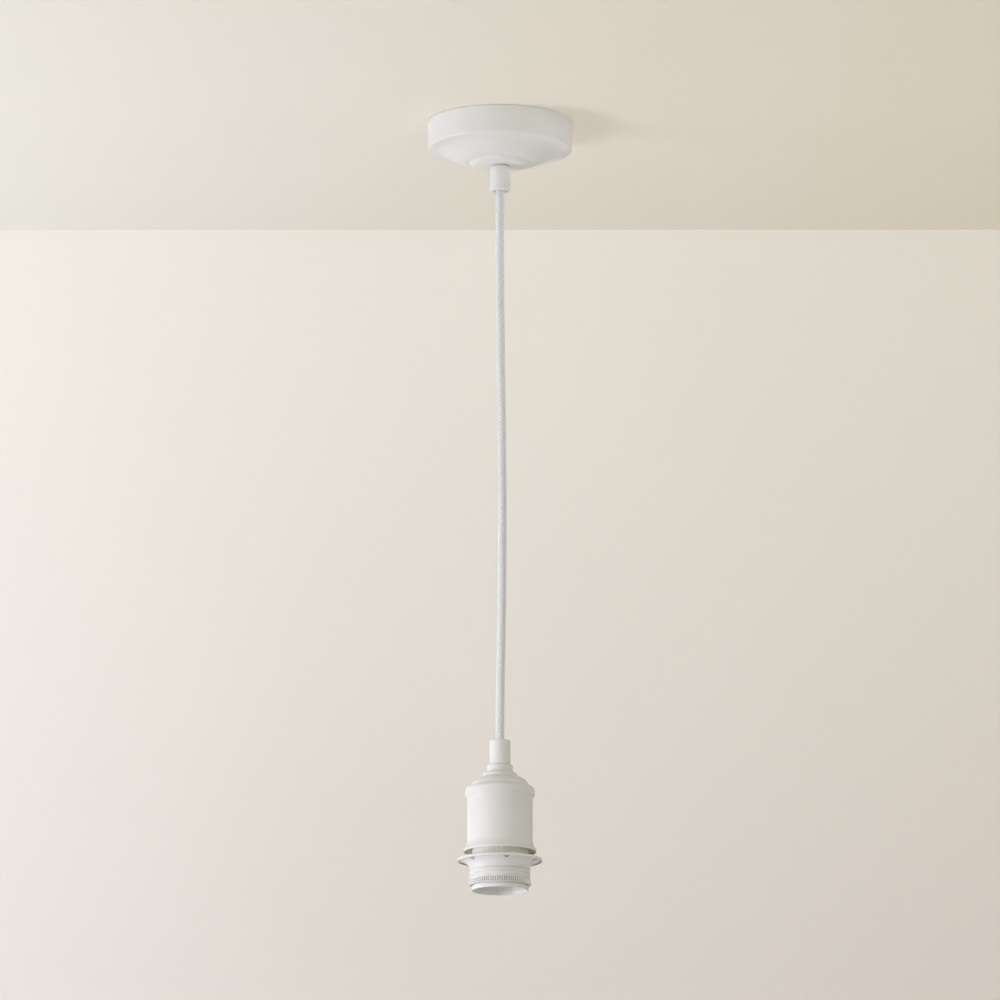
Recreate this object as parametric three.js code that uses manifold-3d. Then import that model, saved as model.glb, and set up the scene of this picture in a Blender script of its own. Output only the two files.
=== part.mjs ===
// Pendant cord set: a round ceiling rose, a braided cord and a screw lampholder with its shade ring.
// Millimetres, +Z up. The origin is on the cord's axis, on the ceiling that the rose is fixed to.
import * as THREE from 'three';
import { mergeVertices } from 'three/addons/utils/BufferGeometryUtils.js';
import Module from 'manifold-3d';

const wasm = await Module();
wasm.setup();

// Clearances between neighbouring pieces
const fitGap = 0.3;

// Ceiling rose cover
const roseRadius = 50;
const roseRimLift = 0.3;
const roseWallHeight = 17.7;
const roseWallLean = 0.7;
const roseCornerWidth = 1.4;
const roseCornerDrop = 1.1;
const roseGutterWidth = 2.9;
const roseGutterDrop = 0.5;
const roseDishDrop = 8.5;
const roseSheet = 1.2;
const bossFaceRadius = 18.2;
const bossSlopeWidth = 3.4;
const bossHeight = 2.2;

// Hollow threaded nipples, shared by both ends
const nippleRadius = 5;
const nippleBoreRadius = 3.7;
const nippleEngagement = 9;

// Cord grips, one at each end
const gripRadius = 7.05;
const gripLength = 16.7;
const gripShoulderRadius = 6;
const gripShoulderLength = 1.2;
const gripCordBoreRadius = 3.5;
const gripMouthRadius = 5.1;
const gripMouthDepth = 3;
const gripScrewRadius = 1.5;
const gripScrewHeight = 6.5;

// Ceiling bracket inside the rose
const strapWidth = 22;
const strapThickness = 1.5;
const strapHalfLength = 43;
const strapFootLength = 14;
const strapPlateHalfLength = 23;
const strapDrop = 13;
const footSlotWidth = 5;
const footSlotLength = 10;

// Nuts, washer and earth screw on the bracket
const nutAcrossFlats = 14;
const nutThickness = 3;
const washerRadius = 8.6;
const washerThickness = 0.8;
const earthScrewOffset = 16;
const earthShankRadius = 2;
const earthShankLength = 6;
const earthHeadRadius = 3.5;
const earthHeadHeight = 2.4;

// Loose terminal block beside the bracket
const blockPitch = 9;
const blockWidth = 18;
const blockDepth = 11;
const blockHeight = 10;
const blockSetback = 20;
const blockAxisHeight = 4.4;
const sleeveRadius = 2.5;
const sleeveBoreRadius = 1.5;
const sleeveLength = 9.4;
const blockScrewRadius = 1.2;
const blockScrewLength = 3.2;
const blockScrewSpacing = 4.6;

// Cord and its three insulated cores
const cordRadius = 3;
const coreRadius = 1.1;
const coreSpread = 1.5;
const coreArch = 3;
const coreEntryDepth = 2.5;

// Drop from the ceiling to the top of the lower cord grip
const holderDrop = 432.7;

// Lampholder cover, a spun metal cup in tiers
const coverTopRadius = 8.65;
const coverTopHeight = 4.7;
const coverTierInnerRadius = 9.7;
const coverTierRadius = 11.9;
const coverTierHeight = 3.5;
const coverDomeRadius = 20.2;
const coverDomeHeight = 6.4;
const coverBandRadius = 23.5;
const coverBandHeight = 9;
const coverBodyRadius = 22.1;
const coverBodyHeight = 27.4;
const coverRimRadius = 24.6;
const coverFlareHeight = 7;
const coverRimHeight = 1.6;
const coverSheet = 0.8;

// Lampholder cap, the ribbed upper half of the holder
const capRadius = 18.8;
const capWall = 1.8;
const capBossRadius = 6.5;
const capBossHeight = 9;
const capDomeHeight = 13;
const capRibCount = 9;
const capRibWidth = 1.3;
const capRibHeight = 0.35;
const capRibTurn = 5;

// Earth tag under the cover's top
const tagRadius = 7;
const tagThickness = 0.6;
const tagTongueWidth = 3;
const tagTongueLength = 8;

// Contact carrier with its terminals
const carrierHeight = 5;
const carrierDrop = 50;
const holderTerminalOffset = 9.5;
const holderTerminalSide = 6;
const holderTerminalHeight = 8;
const holderScrewRadius = 1.3;
const holderScrewLength = 5;

// Screw shell and centre contact
const shellBoreRadius = 12.6;
const shellWaveDepth = 0.9;
const shellPitch = 3.6;
const shellTurns = 5;
const shellSheet = 0.4;
const contactWidth = 5;
const contactThickness = 0.5;
const contactReach = 7;
const contactDip = 3.2;

// Lampholder skirt, the threaded lower half
const skirtRadius = 19.2;
const skirtHeight = 21.6;
const skirtSetDown = 0.2;
const skirtRounding = 1;
const skirtMouthRadius = 18.3;
const skirtConeHeight = 9;
const skirtNeckWall = 1.9;

// Shade ring
const ringFlangeRadius = 28.5;
const ringFlangeThickness = 1.2;
const ringFilletRadius = 6.3;
const ringWall = 0.9;
const ringSleeveHeight = 16.9;
const ringLipWidth = 0.6;
const ringLipHeight = 0.5;
const ringGrooveDepth = 0.45;
const ringGrooveWidth = 1.3;
const ringGroovePitch = 2.75;
const ringFirstGroove = 7.7;
const ringGrooveCount = 3;
const ringKnurlHeight = 2.8;
const ringKnurlDepth = 0.5;
const ringKnurlCount = 96;
const ringFootHeight = 0.7;
const ringFootRadius = 21;
const ringHoleRadius = 2;
const ringHoleInset = 3.2;
const ringHoleCount = 6;
const ringHoleTurn = 11;
const ringGap = 4.7;

// Faces round the turned pieces
const roseSides = 36;
const holderSides = 28;
const gripSides = 20;
const smallSides = 16;

// The cord's route from inside the rose's nipple to inside the lampholder's nipple
const cordRoute = [
  [0, 0, -22],
  [0, 0, -34],
  [0, 0, -48],
  [-0.1, 0.1, -64],
  [-0.2, 0.3, -83],
  [-0.1, 0.6, -104],
  [0.1, 0.9, -126],
  [0.4, 1.1, -148],
  [0.6, 1.1, -170],
  [0.9, 0.9, -192],
  [1.2, 0.6, -214],
  [1.4, 0.2, -236],
  [1.6, -0.2, -258],
  [1.6, -0.6, -280],
  [1.5, -0.9, -302],
  [1.4, -1, -324],
  [1.1, -1, -346],
  [0.8, -0.8, -368],
  [0.4, -0.5, -390],
  [0.1, -0.2, -411],
  [0, 0, -431],
  [0, 0, -443],
  [0, 0, -455],
];

// Levels worked out from the sizes above
const roseUndersideLevel = -(roseRimLift + roseWallHeight + roseCornerDrop);
const roseGutterLevel = roseUndersideLevel - roseGutterDrop;
const bossBaseLevel = roseGutterLevel - roseDishDrop;
const bossFaceLevel = bossBaseLevel - bossHeight;
const nippleHoleRadius = nippleRadius + fitGap;
const plateTopLevel = -strapDrop;
const plateBottomLevel = plateTopLevel - strapThickness;
const roseGripTop = bossFaceLevel - fitGap - gripShoulderLength;
const roseNippleBottom = roseGripTop + gripShoulderLength - nippleEngagement + fitGap;
const washerLevel = plateTopLevel + fitGap;
const upperNutLevel = washerLevel + washerThickness + fitGap;
const roseNippleTop = upperNutLevel + nutThickness + 1;
const holderGripBottom = -(holderDrop + gripLength);
const coverTopLevel = holderGripBottom - fitGap;
const shoulderEndLevel = holderGripBottom - gripShoulderLength;
const tagTopLevel = shoulderEndLevel - fitGap;
const capTopLevel = tagTopLevel - tagThickness - fitGap;
const holderNippleTop = shoulderEndLevel + nippleEngagement - fitGap;
const holderNippleBottom = capTopLevel - capBossHeight;
const coverRimLevel =
  coverTopLevel -
  coverTopHeight -
  coverTierHeight -
  coverDomeHeight -
  coverBandHeight -
  coverBodyHeight -
  coverFlareHeight -
  coverRimHeight;
const ringTopLevel = coverRimLevel - ringGap;
const skirtShoulderLevel = ringTopLevel - skirtSetDown;
const capBottomLevel = skirtShoulderLevel + fitGap;
const skirtBottomLevel = skirtShoulderLevel - skirtHeight;
const carrierTopLevel = coverTopLevel - carrierDrop + carrierHeight;
const carrierBottomLevel = carrierTopLevel - carrierHeight;
const neckTopLevel = carrierBottomLevel - fitGap;
const neckRadius = capRadius - capWall - fitGap;
const neckBoreRadius = neckRadius - skirtNeckWall;
const ringBoreRadius = skirtRadius + fitGap;
const ringSleeveRadius = ringBoreRadius + ringWall;
const ringHoleCircle = ringFlangeRadius - ringHoleInset;
const ringFilletReach = Math.min(ringFilletRadius, ringFlangeRadius - ringLipWidth - ringSleeveRadius - fitGap);

// Materials
function finish(color, roughness, metalness) {
  return new THREE.MeshStandardMaterial({ color, roughness, metalness });
}

const whitePaint = finish(0xe4e1da, 0.5, 0);
const whitePlastic = finish(0xe6e4de, 0.45, 0);
const blockPlastic = finish(0xd8d8d2, 0.4, 0);
const ceramic = finish(0xe9e6de, 0.35, 0);
const zincSteel = finish(0xb4b6b8, 0.35, 1);
const brass = finish(0xc0a060, 0.35, 1);
const braid = finish(0xd9d5d3, 0.9, 0);
const brownCore = finish(0x5a3a26, 0.5, 0);
const blueCore = finish(0x2d5a94, 0.5, 0);
const earthCore = finish(0x8aa63a, 0.5, 0);

// Shape helpers

// A solid of revolution about Z from a closed outline of [radius, height] points.
function turned(outline, sides) {
  const points = outline.map(([radius, height]) => new THREE.Vector2(radius, height));
  points.push(points[0].clone());
  const geometry = new THREE.LatheGeometry(points, sides);
  geometry.rotateX(Math.PI / 2);
  return facingOut(geometry);
}

// Six times the signed volume of a closed geometry.
function signedVolume(geometry) {
  const position = geometry.getAttribute('position');
  const index = geometry.getIndex();
  const a = new THREE.Vector3();
  const b = new THREE.Vector3();
  const c = new THREE.Vector3();
  let sum = 0;
  for (let i = 0; i < index.count; i += 3) {
    a.fromBufferAttribute(position, index.getX(i));
    b.fromBufferAttribute(position, index.getX(i + 1));
    c.fromBufferAttribute(position, index.getX(i + 2));
    sum += a.dot(b.cross(c));
  }
  return sum;
}

// Merges shared corners, drops faces with no area and turns the faces outward.
function facingOut(source) {
  source.deleteAttribute('normal');
  source.deleteAttribute('uv');
  const merged = mergeVertices(source, 1e-3);
  const index = merged.getIndex();
  const kept = [];
  for (let i = 0; i < index.count; i += 3) {
    const corners = [index.getX(i), index.getX(i + 1), index.getX(i + 2)];
    if (new Set(corners).size === 3) kept.push(...corners);
  }
  merged.setIndex(kept);
  if (signedVolume(merged) < 0) {
    for (let i = 0; i < kept.length; i += 3) {
      const swap = kept[i];
      kept[i] = kept[i + 1];
      kept[i + 1] = swap;
    }
    merged.setIndex(kept);
  }
  return merged;
}

function toSolid(geometry) {
  const merged = facingOut(geometry);
  const vertProperties = new Float32Array(merged.getAttribute('position').array);
  const triVerts = new Uint32Array(merged.getIndex().array);
  return new wasm.Manifold(new wasm.Mesh({ numProp: 3, vertProperties, triVerts }));
}

function fromSolid(solid) {
  const mesh = solid.getMesh();
  const geometry = new THREE.BufferGeometry();
  geometry.setAttribute('position', new THREE.BufferAttribute(new Float32Array(mesh.vertProperties), 3));
  geometry.setIndex(new THREE.BufferAttribute(new Uint32Array(mesh.triVerts), 1));
  return geometry;
}

// The geometry with each of the cutters taken out of it.
function cut(geometry, cutters) {
  let solid = toSolid(geometry);
  for (const cutter of cutters) {
    solid = solid.subtract(toSolid(cutter));
  }
  return fromSolid(solid);
}

// The geometries joined into one body.
function joined(geometries) {
  let solid = toSolid(geometries[0]);
  for (const geometry of geometries.slice(1)) {
    solid = solid.add(toSolid(geometry));
  }
  return fromSolid(solid);
}

// A curved run of outline points after `from`, pulled towards `corner`, ending at `to`.
function bend(from, corner, to, steps = 5) {
  const points = [];
  for (let i = 1; i <= steps; i += 1) {
    const t = i / steps;
    const s = 1 - t;
    points.push([
      s * s * from[0] + 2 * s * t * corner[0] + t * t * to[0],
      s * s * from[1] + 2 * s * t * corner[1] + t * t * to[1],
    ]);
  }
  return points;
}

// The outline of a sheet: the outer line, and the same line moved in by the sheet's thickness.
function sheetOutline(outer, thickness) {
  const inner = outer.map((point, i) => {
    const before = outer[Math.max(i - 1, 0)];
    const after = outer[Math.min(i + 1, outer.length - 1)];
    const first = sideways(i === 0 ? point : before, i === 0 ? after : point);
    const last = i === outer.length - 1;
    const second = sideways(last ? before : point, last ? point : after);
    const sum = [first[0] + second[0], first[1] + second[1]];
    const scale = (2 * thickness) / (sum[0] ** 2 + sum[1] ** 2);
    return [point[0] - sum[0] * scale, point[1] - sum[1] * scale];
  });
  return [...outer, ...inner.reverse()];
}

// The unit vector square to a step of an outline, on its left-hand side.
function sideways(from, to) {
  const run = to[0] - from[0];
  const rise = to[1] - from[1];
  const length = Math.hypot(run, rise);
  return [-rise / length, run / length];
}

function tube(outer, inner, low, high, sides = smallSides) {
  return turned([[outer, low], [outer, high], [inner, high], [inner, low]], sides);
}

function rod(radius, low, high, sides = smallSides) {
  const geometry = new THREE.CylinderGeometry(radius, radius, high - low, sides);
  geometry.rotateX(Math.PI / 2);
  geometry.translate(0, 0, (low + high) / 2);
  return facingOut(geometry);
}

// A rod along Y between two values of y, at x and z.
function crossRod(radius, x, fromY, toY, z, sides = smallSides) {
  const geometry = new THREE.CylinderGeometry(radius, radius, toY - fromY, sides);
  geometry.translate(x, (fromY + toY) / 2, z);
  return facingOut(geometry);
}

function box(fromX, toX, fromY, toY, fromZ, toZ) {
  const geometry = new THREE.BoxGeometry(toX - fromX, toY - fromY, toZ - fromZ);
  geometry.translate((fromX + toX) / 2, (fromY + toY) / 2, (fromZ + toZ) / 2);
  return facingOut(geometry);
}

function extruded(shape, depth) {
  return new THREE.ExtrudeGeometry(shape, { depth, bevelEnabled: false, curveSegments: smallSides });
}

// A tube of the given radius along a list of points.
function alongRoute(points, radius, sides, steps) {
  const section = new THREE.Shape();
  for (let i = 0; i < sides; i += 1) {
    const angle = (2 * Math.PI * i) / sides;
    const x = radius * Math.cos(angle);
    const y = radius * Math.sin(angle);
    if (i === 0) section.moveTo(x, y);
    else section.lineTo(x, y);
  }
  const route = new THREE.CatmullRomCurve3(points.map((point) => new THREE.Vector3(...point)));
  return facingOut(new THREE.ExtrudeGeometry(section, { steps, extrudePath: route, bevelEnabled: false }));
}

function piece(name, geometry, material) {
  const mesh = new THREE.Mesh(geometry, material);
  mesh.name = name;
  return mesh;
}

// Ceiling rose

// The cover's outer line from its rim at the ceiling to its centre hole.
function roseOuterLine() {
  const wallFoot = [roseRadius - roseWallLean, -(roseRimLift + roseWallHeight)];
  const cornerEnd = [wallFoot[0] - roseCornerWidth, roseUndersideLevel];
  const gutterEnd = [cornerEnd[0] - roseGutterWidth, roseGutterLevel];
  const dishEnd = [bossFaceRadius + bossSlopeWidth, bossBaseLevel];
  const line = [[roseRadius, -roseRimLift], wallFoot];
  line.push(...bend(wallFoot, [wallFoot[0], roseUndersideLevel], cornerEnd, 3), gutterEnd);
  const dishSteps = 6;
  for (let i = 1; i <= dishSteps; i += 1) {
    const t = i / dishSteps;
    const ease = t * t * (3 - 2 * t);
    line.push([
      gutterEnd[0] + (dishEnd[0] - gutterEnd[0]) * t,
      gutterEnd[1] + (dishEnd[1] - gutterEnd[1]) * ease,
    ]);
  }
  line.push([bossFaceRadius, bossFaceLevel], [nippleHoleRadius, bossFaceLevel]);
  return line;
}

// The cover's inner line runs the sheet's thickness inside its outer line.
function roseSheetOutline() {
  return sheetOutline(roseOuterLine(), roseSheet);
}

// How low the inside of the rose cover is at a radius.
function roseFloorLevel(radius) {
  const line = roseSheetOutline().slice(roseOuterLine().length);
  for (let i = 1; i < line.length; i += 1) {
    const [r0, z0] = line[i - 1];
    const [r1, z1] = line[i];
    if (r0 <= radius && radius <= r1) return z0 + ((z1 - z0) * (radius - r0)) / (r1 - r0);
  }
  return roseUndersideLevel;
}

function ceilingRoseCover() {
  return piece('ceiling_rose_cover', turned(roseSheetOutline(), roseSides), whitePaint);
}

function ceilingBracket() {
  const footStart = strapHalfLength - strapFootLength;
  const half = [
    [strapHalfLength, 0],
    [footStart, 0],
    [strapPlateHalfLength, plateTopLevel],
  ];
  const top = [...half, ...half.map(([x, z]) => [-x, z]).reverse()];
  const bottom = [
    [-strapHalfLength, -strapThickness],
    [-footStart - strapThickness * 0.6, -strapThickness],
    [-strapPlateHalfLength - strapThickness * 0.6, plateBottomLevel],
    [strapPlateHalfLength + strapThickness * 0.6, plateBottomLevel],
    [footStart + strapThickness * 0.6, -strapThickness],
    [strapHalfLength, -strapThickness],
  ];
  const shape = new THREE.Shape([...top, ...bottom].map(([x, z]) => new THREE.Vector2(x, z)));
  const strap = extruded(shape, strapWidth);
  strap.rotateX(Math.PI / 2);
  strap.translate(0, strapWidth / 2, 0);
  const cutters = [rod(nippleHoleRadius, plateBottomLevel - 1, plateTopLevel + 1)];
  const earthHole = rod(earthShankRadius + fitGap, plateBottomLevel - 1, plateTopLevel + 1);
  earthHole.translate(earthScrewOffset, 0, 0);
  cutters.push(earthHole);
  for (const side of [-1, 1]) {
    const slotCentre = side * (strapHalfLength - strapFootLength / 2);
    const reach = (footSlotLength - footSlotWidth) / 2;
    const middle = box(
      slotCentre - reach,
      slotCentre + reach,
      -footSlotWidth / 2,
      footSlotWidth / 2,
      -strapThickness - 1,
      1,
    );
    const ends = [-reach, reach].map((shift) => {
      const end = rod(footSlotWidth / 2, -strapThickness - 1, 1);
      end.translate(slotCentre + shift, 0, 0);
      return end;
    });
    cutters.push(middle, ...ends);
  }
  return piece('ceiling_bracket', cut(strap, cutters), zincSteel);
}

function nipple(name, low, high) {
  return piece(name, tube(nippleRadius, nippleBoreRadius, low, high), brass);
}

function nut(name, low) {
  const shape = new THREE.Shape();
  const corner = nutAcrossFlats / 2 / Math.cos(Math.PI / 6);
  for (let i = 0; i < 6; i += 1) {
    const angle = (Math.PI * i) / 3;
    if (i === 0) shape.moveTo(corner, 0);
    else shape.lineTo(corner * Math.cos(angle), corner * Math.sin(angle));
  }
  const hole = new THREE.Path();
  hole.absarc(0, 0, nippleHoleRadius, 0, Math.PI * 2, true);
  shape.holes.push(hole);
  const geometry = facingOut(extruded(shape, nutThickness));
  geometry.translate(0, 0, low);
  return piece(name, geometry, zincSteel);
}

// A cord grip with its shoulder at the top: a socket for the nipple, then a bore for the cord.
function cordGripGeometry() {
  const bottom = -gripLength;
  const socketEnd = gripShoulderLength - nippleEngagement;
  const edge = 0.5;
  const outline = [
    [nippleHoleRadius, gripShoulderLength],
    [gripShoulderRadius, gripShoulderLength],
    [gripShoulderRadius, 0],
    [gripRadius - edge, 0],
    [gripRadius, -edge],
    [gripRadius, bottom + edge],
    [gripRadius - edge, bottom],
    [gripMouthRadius, bottom],
    [gripCordBoreRadius, bottom + gripMouthDepth],
    [gripCordBoreRadius, socketEnd],
    [nippleHoleRadius, socketEnd],
  ];
  const screwHole = crossRod(gripScrewRadius + fitGap, 0, 0, gripRadius + 1, bottom + gripScrewHeight);
  return cut(turned(outline, gripSides), [screwHole]);
}

// The clamping screw in the side of a grip, with a slot across its outer end.
function gripScrewGeometry() {
  const tip = cordRadius + fitGap;
  const level = gripScrewHeight - gripLength;
  const screw = crossRod(gripScrewRadius, 0, tip, gripRadius - 0.1, level, 16);
  const slotDepth = 0.7;
  const slotHalfWidth = 0.3;
  const slot = box(
    -gripScrewRadius - 1,
    gripScrewRadius + 1,
    gripRadius - slotDepth,
    gripRadius + 1,
    level - slotHalfWidth,
    level + slotHalfWidth,
  );
  return cut(screw, [slot]);
}

function roseGrip() {
  const group = new THREE.Group();
  group.position.z = roseGripTop;
  group.add(piece('rose_cord_grip', cordGripGeometry(), whitePlastic));
  group.add(piece('rose_grip_screw', gripScrewGeometry(), whitePlastic));
  return group;
}

function earthScrew() {
  const headLow = plateTopLevel + fitGap;
  const shank = rod(earthShankRadius, headLow - earthShankLength, headLow + 0.1, 16);
  const head = rod(earthHeadRadius, headLow, headLow + earthHeadHeight, smallSides);
  const slot = box(-5, 5, -0.5, 0.5, headLow + earthHeadHeight - 1, headLow + earthHeadHeight + 1);
  const screw = piece('bracket_earth_screw', cut(joined([shank, head]), [slot]), brass);
  screw.position.x = earthScrewOffset;
  return screw;
}

// Terminal block: a moulded body, and in each way a brass sleeve with two screws
function terminalBlock() {
  const group = new THREE.Group();
  const frontY = -(blockSetback + blockDepth);
  const floorRadius = Math.hypot(blockWidth / 2, frontY);
  group.position.z = roseFloorLevel(floorRadius) + fitGap;
  const middleY = -(blockSetback + blockDepth / 2);
  const ways = [-blockPitch / 2, blockPitch / 2];
  const screwYs = [middleY - blockScrewSpacing / 2, middleY + blockScrewSpacing / 2];
  const screwHoleRadius = blockScrewRadius + fitGap;
  const body = box(-blockWidth / 2, blockWidth / 2, frontY, -blockSetback, 0, blockHeight);
  const cutters = [];
  for (const x of ways) {
    cutters.push(crossRod(sleeveRadius + fitGap, x, frontY - 1, -blockSetback + 1, blockAxisHeight));
    for (const y of screwYs) {
      const well = rod(screwHoleRadius, blockAxisHeight, blockHeight + 1, 16);
      well.translate(x, y, 0);
      cutters.push(well);
    }
  }
  cutters.push(box(-1, 1, frontY - 1, -blockSetback + 1, blockHeight - 3, blockHeight + 1));
  group.add(piece('terminal_block_body', cut(body, cutters), blockPlastic));
  ways.forEach((x, way) => {
    const halfLength = sleeveLength / 2;
    const outside = crossRod(sleeveRadius, x, middleY - halfLength, middleY + halfLength, blockAxisHeight);
    const boreEnd = halfLength + 1;
    const holes = [crossRod(sleeveBoreRadius, x, middleY - boreEnd, middleY + boreEnd, blockAxisHeight)];
    for (const y of screwYs) {
      const hole = rod(screwHoleRadius, blockAxisHeight, blockAxisHeight + sleeveRadius + 1, 16);
      hole.translate(x, y, 0);
      holes.push(hole);
    }
    group.add(piece(`terminal_sleeve_${way + 1}`, cut(outside, holes), brass));
    screwYs.forEach((y, end) => {
      const low = blockAxisHeight + sleeveBoreRadius;
      const screw = rod(blockScrewRadius, low, low + blockScrewLength, 12);
      screw.translate(x, y, 0);
      group.add(piece(`terminal_screw_${way * 2 + end + 1}`, screw, zincSteel));
    });
  });
  return group;
}

// Where a core leaves the cord, for core number 0 to 2
function coreStart(number) {
  const angle = Math.PI / 2 + (2 * Math.PI * number) / 3;
  return [coreSpread * Math.cos(angle), coreSpread * Math.sin(angle)];
}

function core(name, route, material) {
  const sectionSides = 6;
  const steps = 16;
  return piece(name, alongRoute(route, coreRadius, sectionSides, steps), material);
}

// From the cord's end up through the nipple, over the strap's edge and down into the block
function blockCoreRoute(number, side) {
  const [x, y] = coreStart(number);
  const blockX = (side * blockPitch) / 2;
  const blockFrontY = -(blockSetback + blockDepth);
  const blockLevel = roseFloorLevel(Math.hypot(blockWidth / 2, blockFrontY)) + fitGap;
  const entryLevel = blockLevel + blockAxisHeight;
  const entryY = -(blockSetback + coreEntryDepth);
  const crestLevel = roseNippleTop + coreArch;
  const edgeY = -strapWidth / 2;
  return [
    [x, y, cordRoute[0][2] + fitGap],
    [x, y, roseNippleTop - 2],
    [x + 0.2 * blockX, y - 1, crestLevel - 1],
    [0.7 * blockX, edgeY / 2, crestLevel + 0.6],
    [blockX, edgeY - 1, crestLevel - 2.5],
    [blockX, edgeY - 3.8, (crestLevel + entryLevel) / 2],
    [blockX, edgeY - 6, entryLevel + 1],
    [blockX, entryY + 1.5, entryLevel],
    [blockX, entryY, entryLevel],
  ];
}

// From the cord's end up through the nipple, then beside the earth screw's head
function bracketCoreRoute() {
  const [x, y] = coreStart(0);
  const headLevel = plateTopLevel + fitGap + earthHeadHeight / 2;
  const crestLevel = roseNippleTop + coreArch;
  const besideHead = earthHeadRadius + coreRadius + fitGap;
  return [
    [x, y, cordRoute[0][2] + fitGap],
    [x, y, roseNippleTop - 2],
    [x + 0.6, y + 0.8, crestLevel - 1],
    [earthScrewOffset / 3, besideHead + 0.6, crestLevel],
    [(2 * earthScrewOffset) / 3, besideHead + 2.4, crestLevel - 2.5],
    [earthScrewOffset - 2.6, besideHead + 0.6, headLevel + 2],
    [earthScrewOffset, besideHead, headLevel + 0.6],
    [earthScrewOffset + 2.4, besideHead, headLevel + 0.4],
  ];
}

function roseCores() {
  return [
    core('rose_core_live', blockCoreRoute(1, -1), brownCore),
    core('rose_core_neutral', blockCoreRoute(2, 1), blueCore),
    core('rose_core_earth', bracketCoreRoute(), earthCore),
  ];
}

function ceilingRose() {
  const group = new THREE.Group();
  group.add(ceilingRoseCover());
  group.add(ceilingBracket());
  group.add(nipple('rose_nipple', roseNippleBottom, roseNippleTop));
  const washer = tube(washerRadius, nippleHoleRadius, washerLevel, washerLevel + washerThickness);
  group.add(piece('bracket_lock_washer', washer, zincSteel));
  group.add(nut('bracket_upper_nut', upperNutLevel));
  group.add(nut('bracket_lower_nut', plateBottomLevel - fitGap - nutThickness));
  group.add(roseGrip());
  group.add(earthScrew());
  group.add(terminalBlock());
  group.add(...roseCores());
  return group;
}

// Cord

function pendantCord() {
  return piece('pendant_cord', alongRoute(cordRoute, cordRadius, 10, 48), braid);
}

// Lampholder

function holderGrip() {
  const group = new THREE.Group();
  group.position.z = holderGripBottom;
  group.rotation.y = Math.PI;
  group.add(piece('holder_cord_grip', cordGripGeometry(), whitePlastic));
  group.add(piece('holder_grip_screw', gripScrewGeometry(), whitePlastic));
  return group;
}

// The cover's outer line from its top hole down to its rim
function coverOuterLine() {
  const edge = 0.6;
  const bandEase = 2.6;
  const tierPull = 0.6;
  const domePull = 1.2;
  const bandPull = 0.9;
  const flarePull = 0.55 * coverFlareHeight;
  const tierTop = coverTopLevel - coverTopHeight;
  const domeTop = tierTop - coverTierHeight;
  const bandTop = domeTop - coverDomeHeight;
  const bodyTop = bandTop - coverBandHeight;
  const flareTop = bodyTop - coverBodyHeight;
  const rimTop = flareTop - coverFlareHeight;
  const tierStart = [coverTierInnerRadius, tierTop - edge / 2];
  const domeStart = [coverTierRadius, domeTop];
  const bandStart = [coverDomeRadius, bandTop];
  const bandHigh = [coverBandRadius, bandTop - bandEase - edge];
  const bandLow = [coverBandRadius, bodyTop + bandEase];
  const bodyStart = [coverBodyRadius, bodyTop];
  const flareStart = [coverBodyRadius, flareTop];
  const rimStart = [coverRimRadius, rimTop];
  return [
    [gripShoulderRadius + fitGap, coverTopLevel],
    [coverTopRadius - edge, coverTopLevel],
    [coverTopRadius, coverTopLevel - edge],
    [coverTopRadius, tierTop + edge],
    [coverTopRadius + edge, tierTop],
    tierStart,
    ...bend(tierStart, [coverTierRadius, tierTop - tierPull], domeStart, 3),
    ...bend(domeStart, [coverDomeRadius - 2 * domePull, domeTop - domePull], bandStart, 3),
    ...bend(bandStart, [coverBandRadius, bandTop - bandPull], bandHigh, 2),
    bandLow,
    ...bend(bandLow, [coverBodyRadius, bodyTop + bandPull], bodyStart, 2),
    flareStart,
    ...bend(flareStart, [coverBodyRadius, flareTop - flarePull], rimStart, 3),
    [coverRimRadius, rimTop - coverRimHeight],
  ];
}

function lampholderCover() {
  const outline = sheetOutline(coverOuterLine(), coverSheet);
  return piece('lampholder_cover', turned(outline, holderSides), whitePaint);
}

function earthTag() {
  const low = tagTopLevel - tagThickness;
  const ring = tube(tagRadius, nippleHoleRadius, low, tagTopLevel);
  const inner = tagRadius - tagThickness + 0.4;
  const tongueLow = low - tagTongueLength;
  const halfWidth = tagTongueWidth / 2;
  const bridge = box(-halfWidth, halfWidth, nippleHoleRadius + 0.6, inner + 0.1, low, tagTopLevel);
  const tongue = box(-halfWidth, halfWidth, inner, inner + tagThickness, tongueLow, tagTopLevel);
  return piece('holder_earth_tag', joined([ring, bridge, tongue]), brass);
}

function lampholderCap() {
  const bossEnd = capTopLevel - capBossHeight;
  const domeEnd = bossEnd - capDomeHeight;
  const bossFoot = [capBossRadius, bossEnd];
  const outer = [
    [nippleHoleRadius, capTopLevel],
    [capBossRadius, capTopLevel],
    bossFoot,
    ...bend(bossFoot, [capRadius, bossEnd - 0.5], [capRadius, domeEnd], 4),
    [capRadius, capBottomLevel],
  ];
  const innerRadius = capRadius - capWall;
  const ceiling = bossEnd - 2.2;
  const inner = [
    [innerRadius, capBottomLevel],
    [innerRadius, domeEnd],
    ...bend([innerRadius, domeEnd], [innerRadius - 0.5, ceiling], [nippleHoleRadius + 1, ceiling], 4),
    [nippleHoleRadius, ceiling],
  ];
  const shell = turned([...outer, ...inner], holderSides);
  const ribs = [];
  for (let i = 0; i < capRibCount; i += 1) {
    const rib = box(
      -capRibWidth / 2,
      capRibWidth / 2,
      -(capRadius + capRibHeight),
      -(capRadius - capWall / 2),
      capBottomLevel,
      domeEnd,
    );
    rib.rotateZ((2 * Math.PI * i) / capRibCount + THREE.MathUtils.degToRad(capRibTurn));
    ribs.push(rib);
  }
  return piece('lampholder_cap', joined([shell, ...ribs]), whitePlastic);
}

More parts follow.
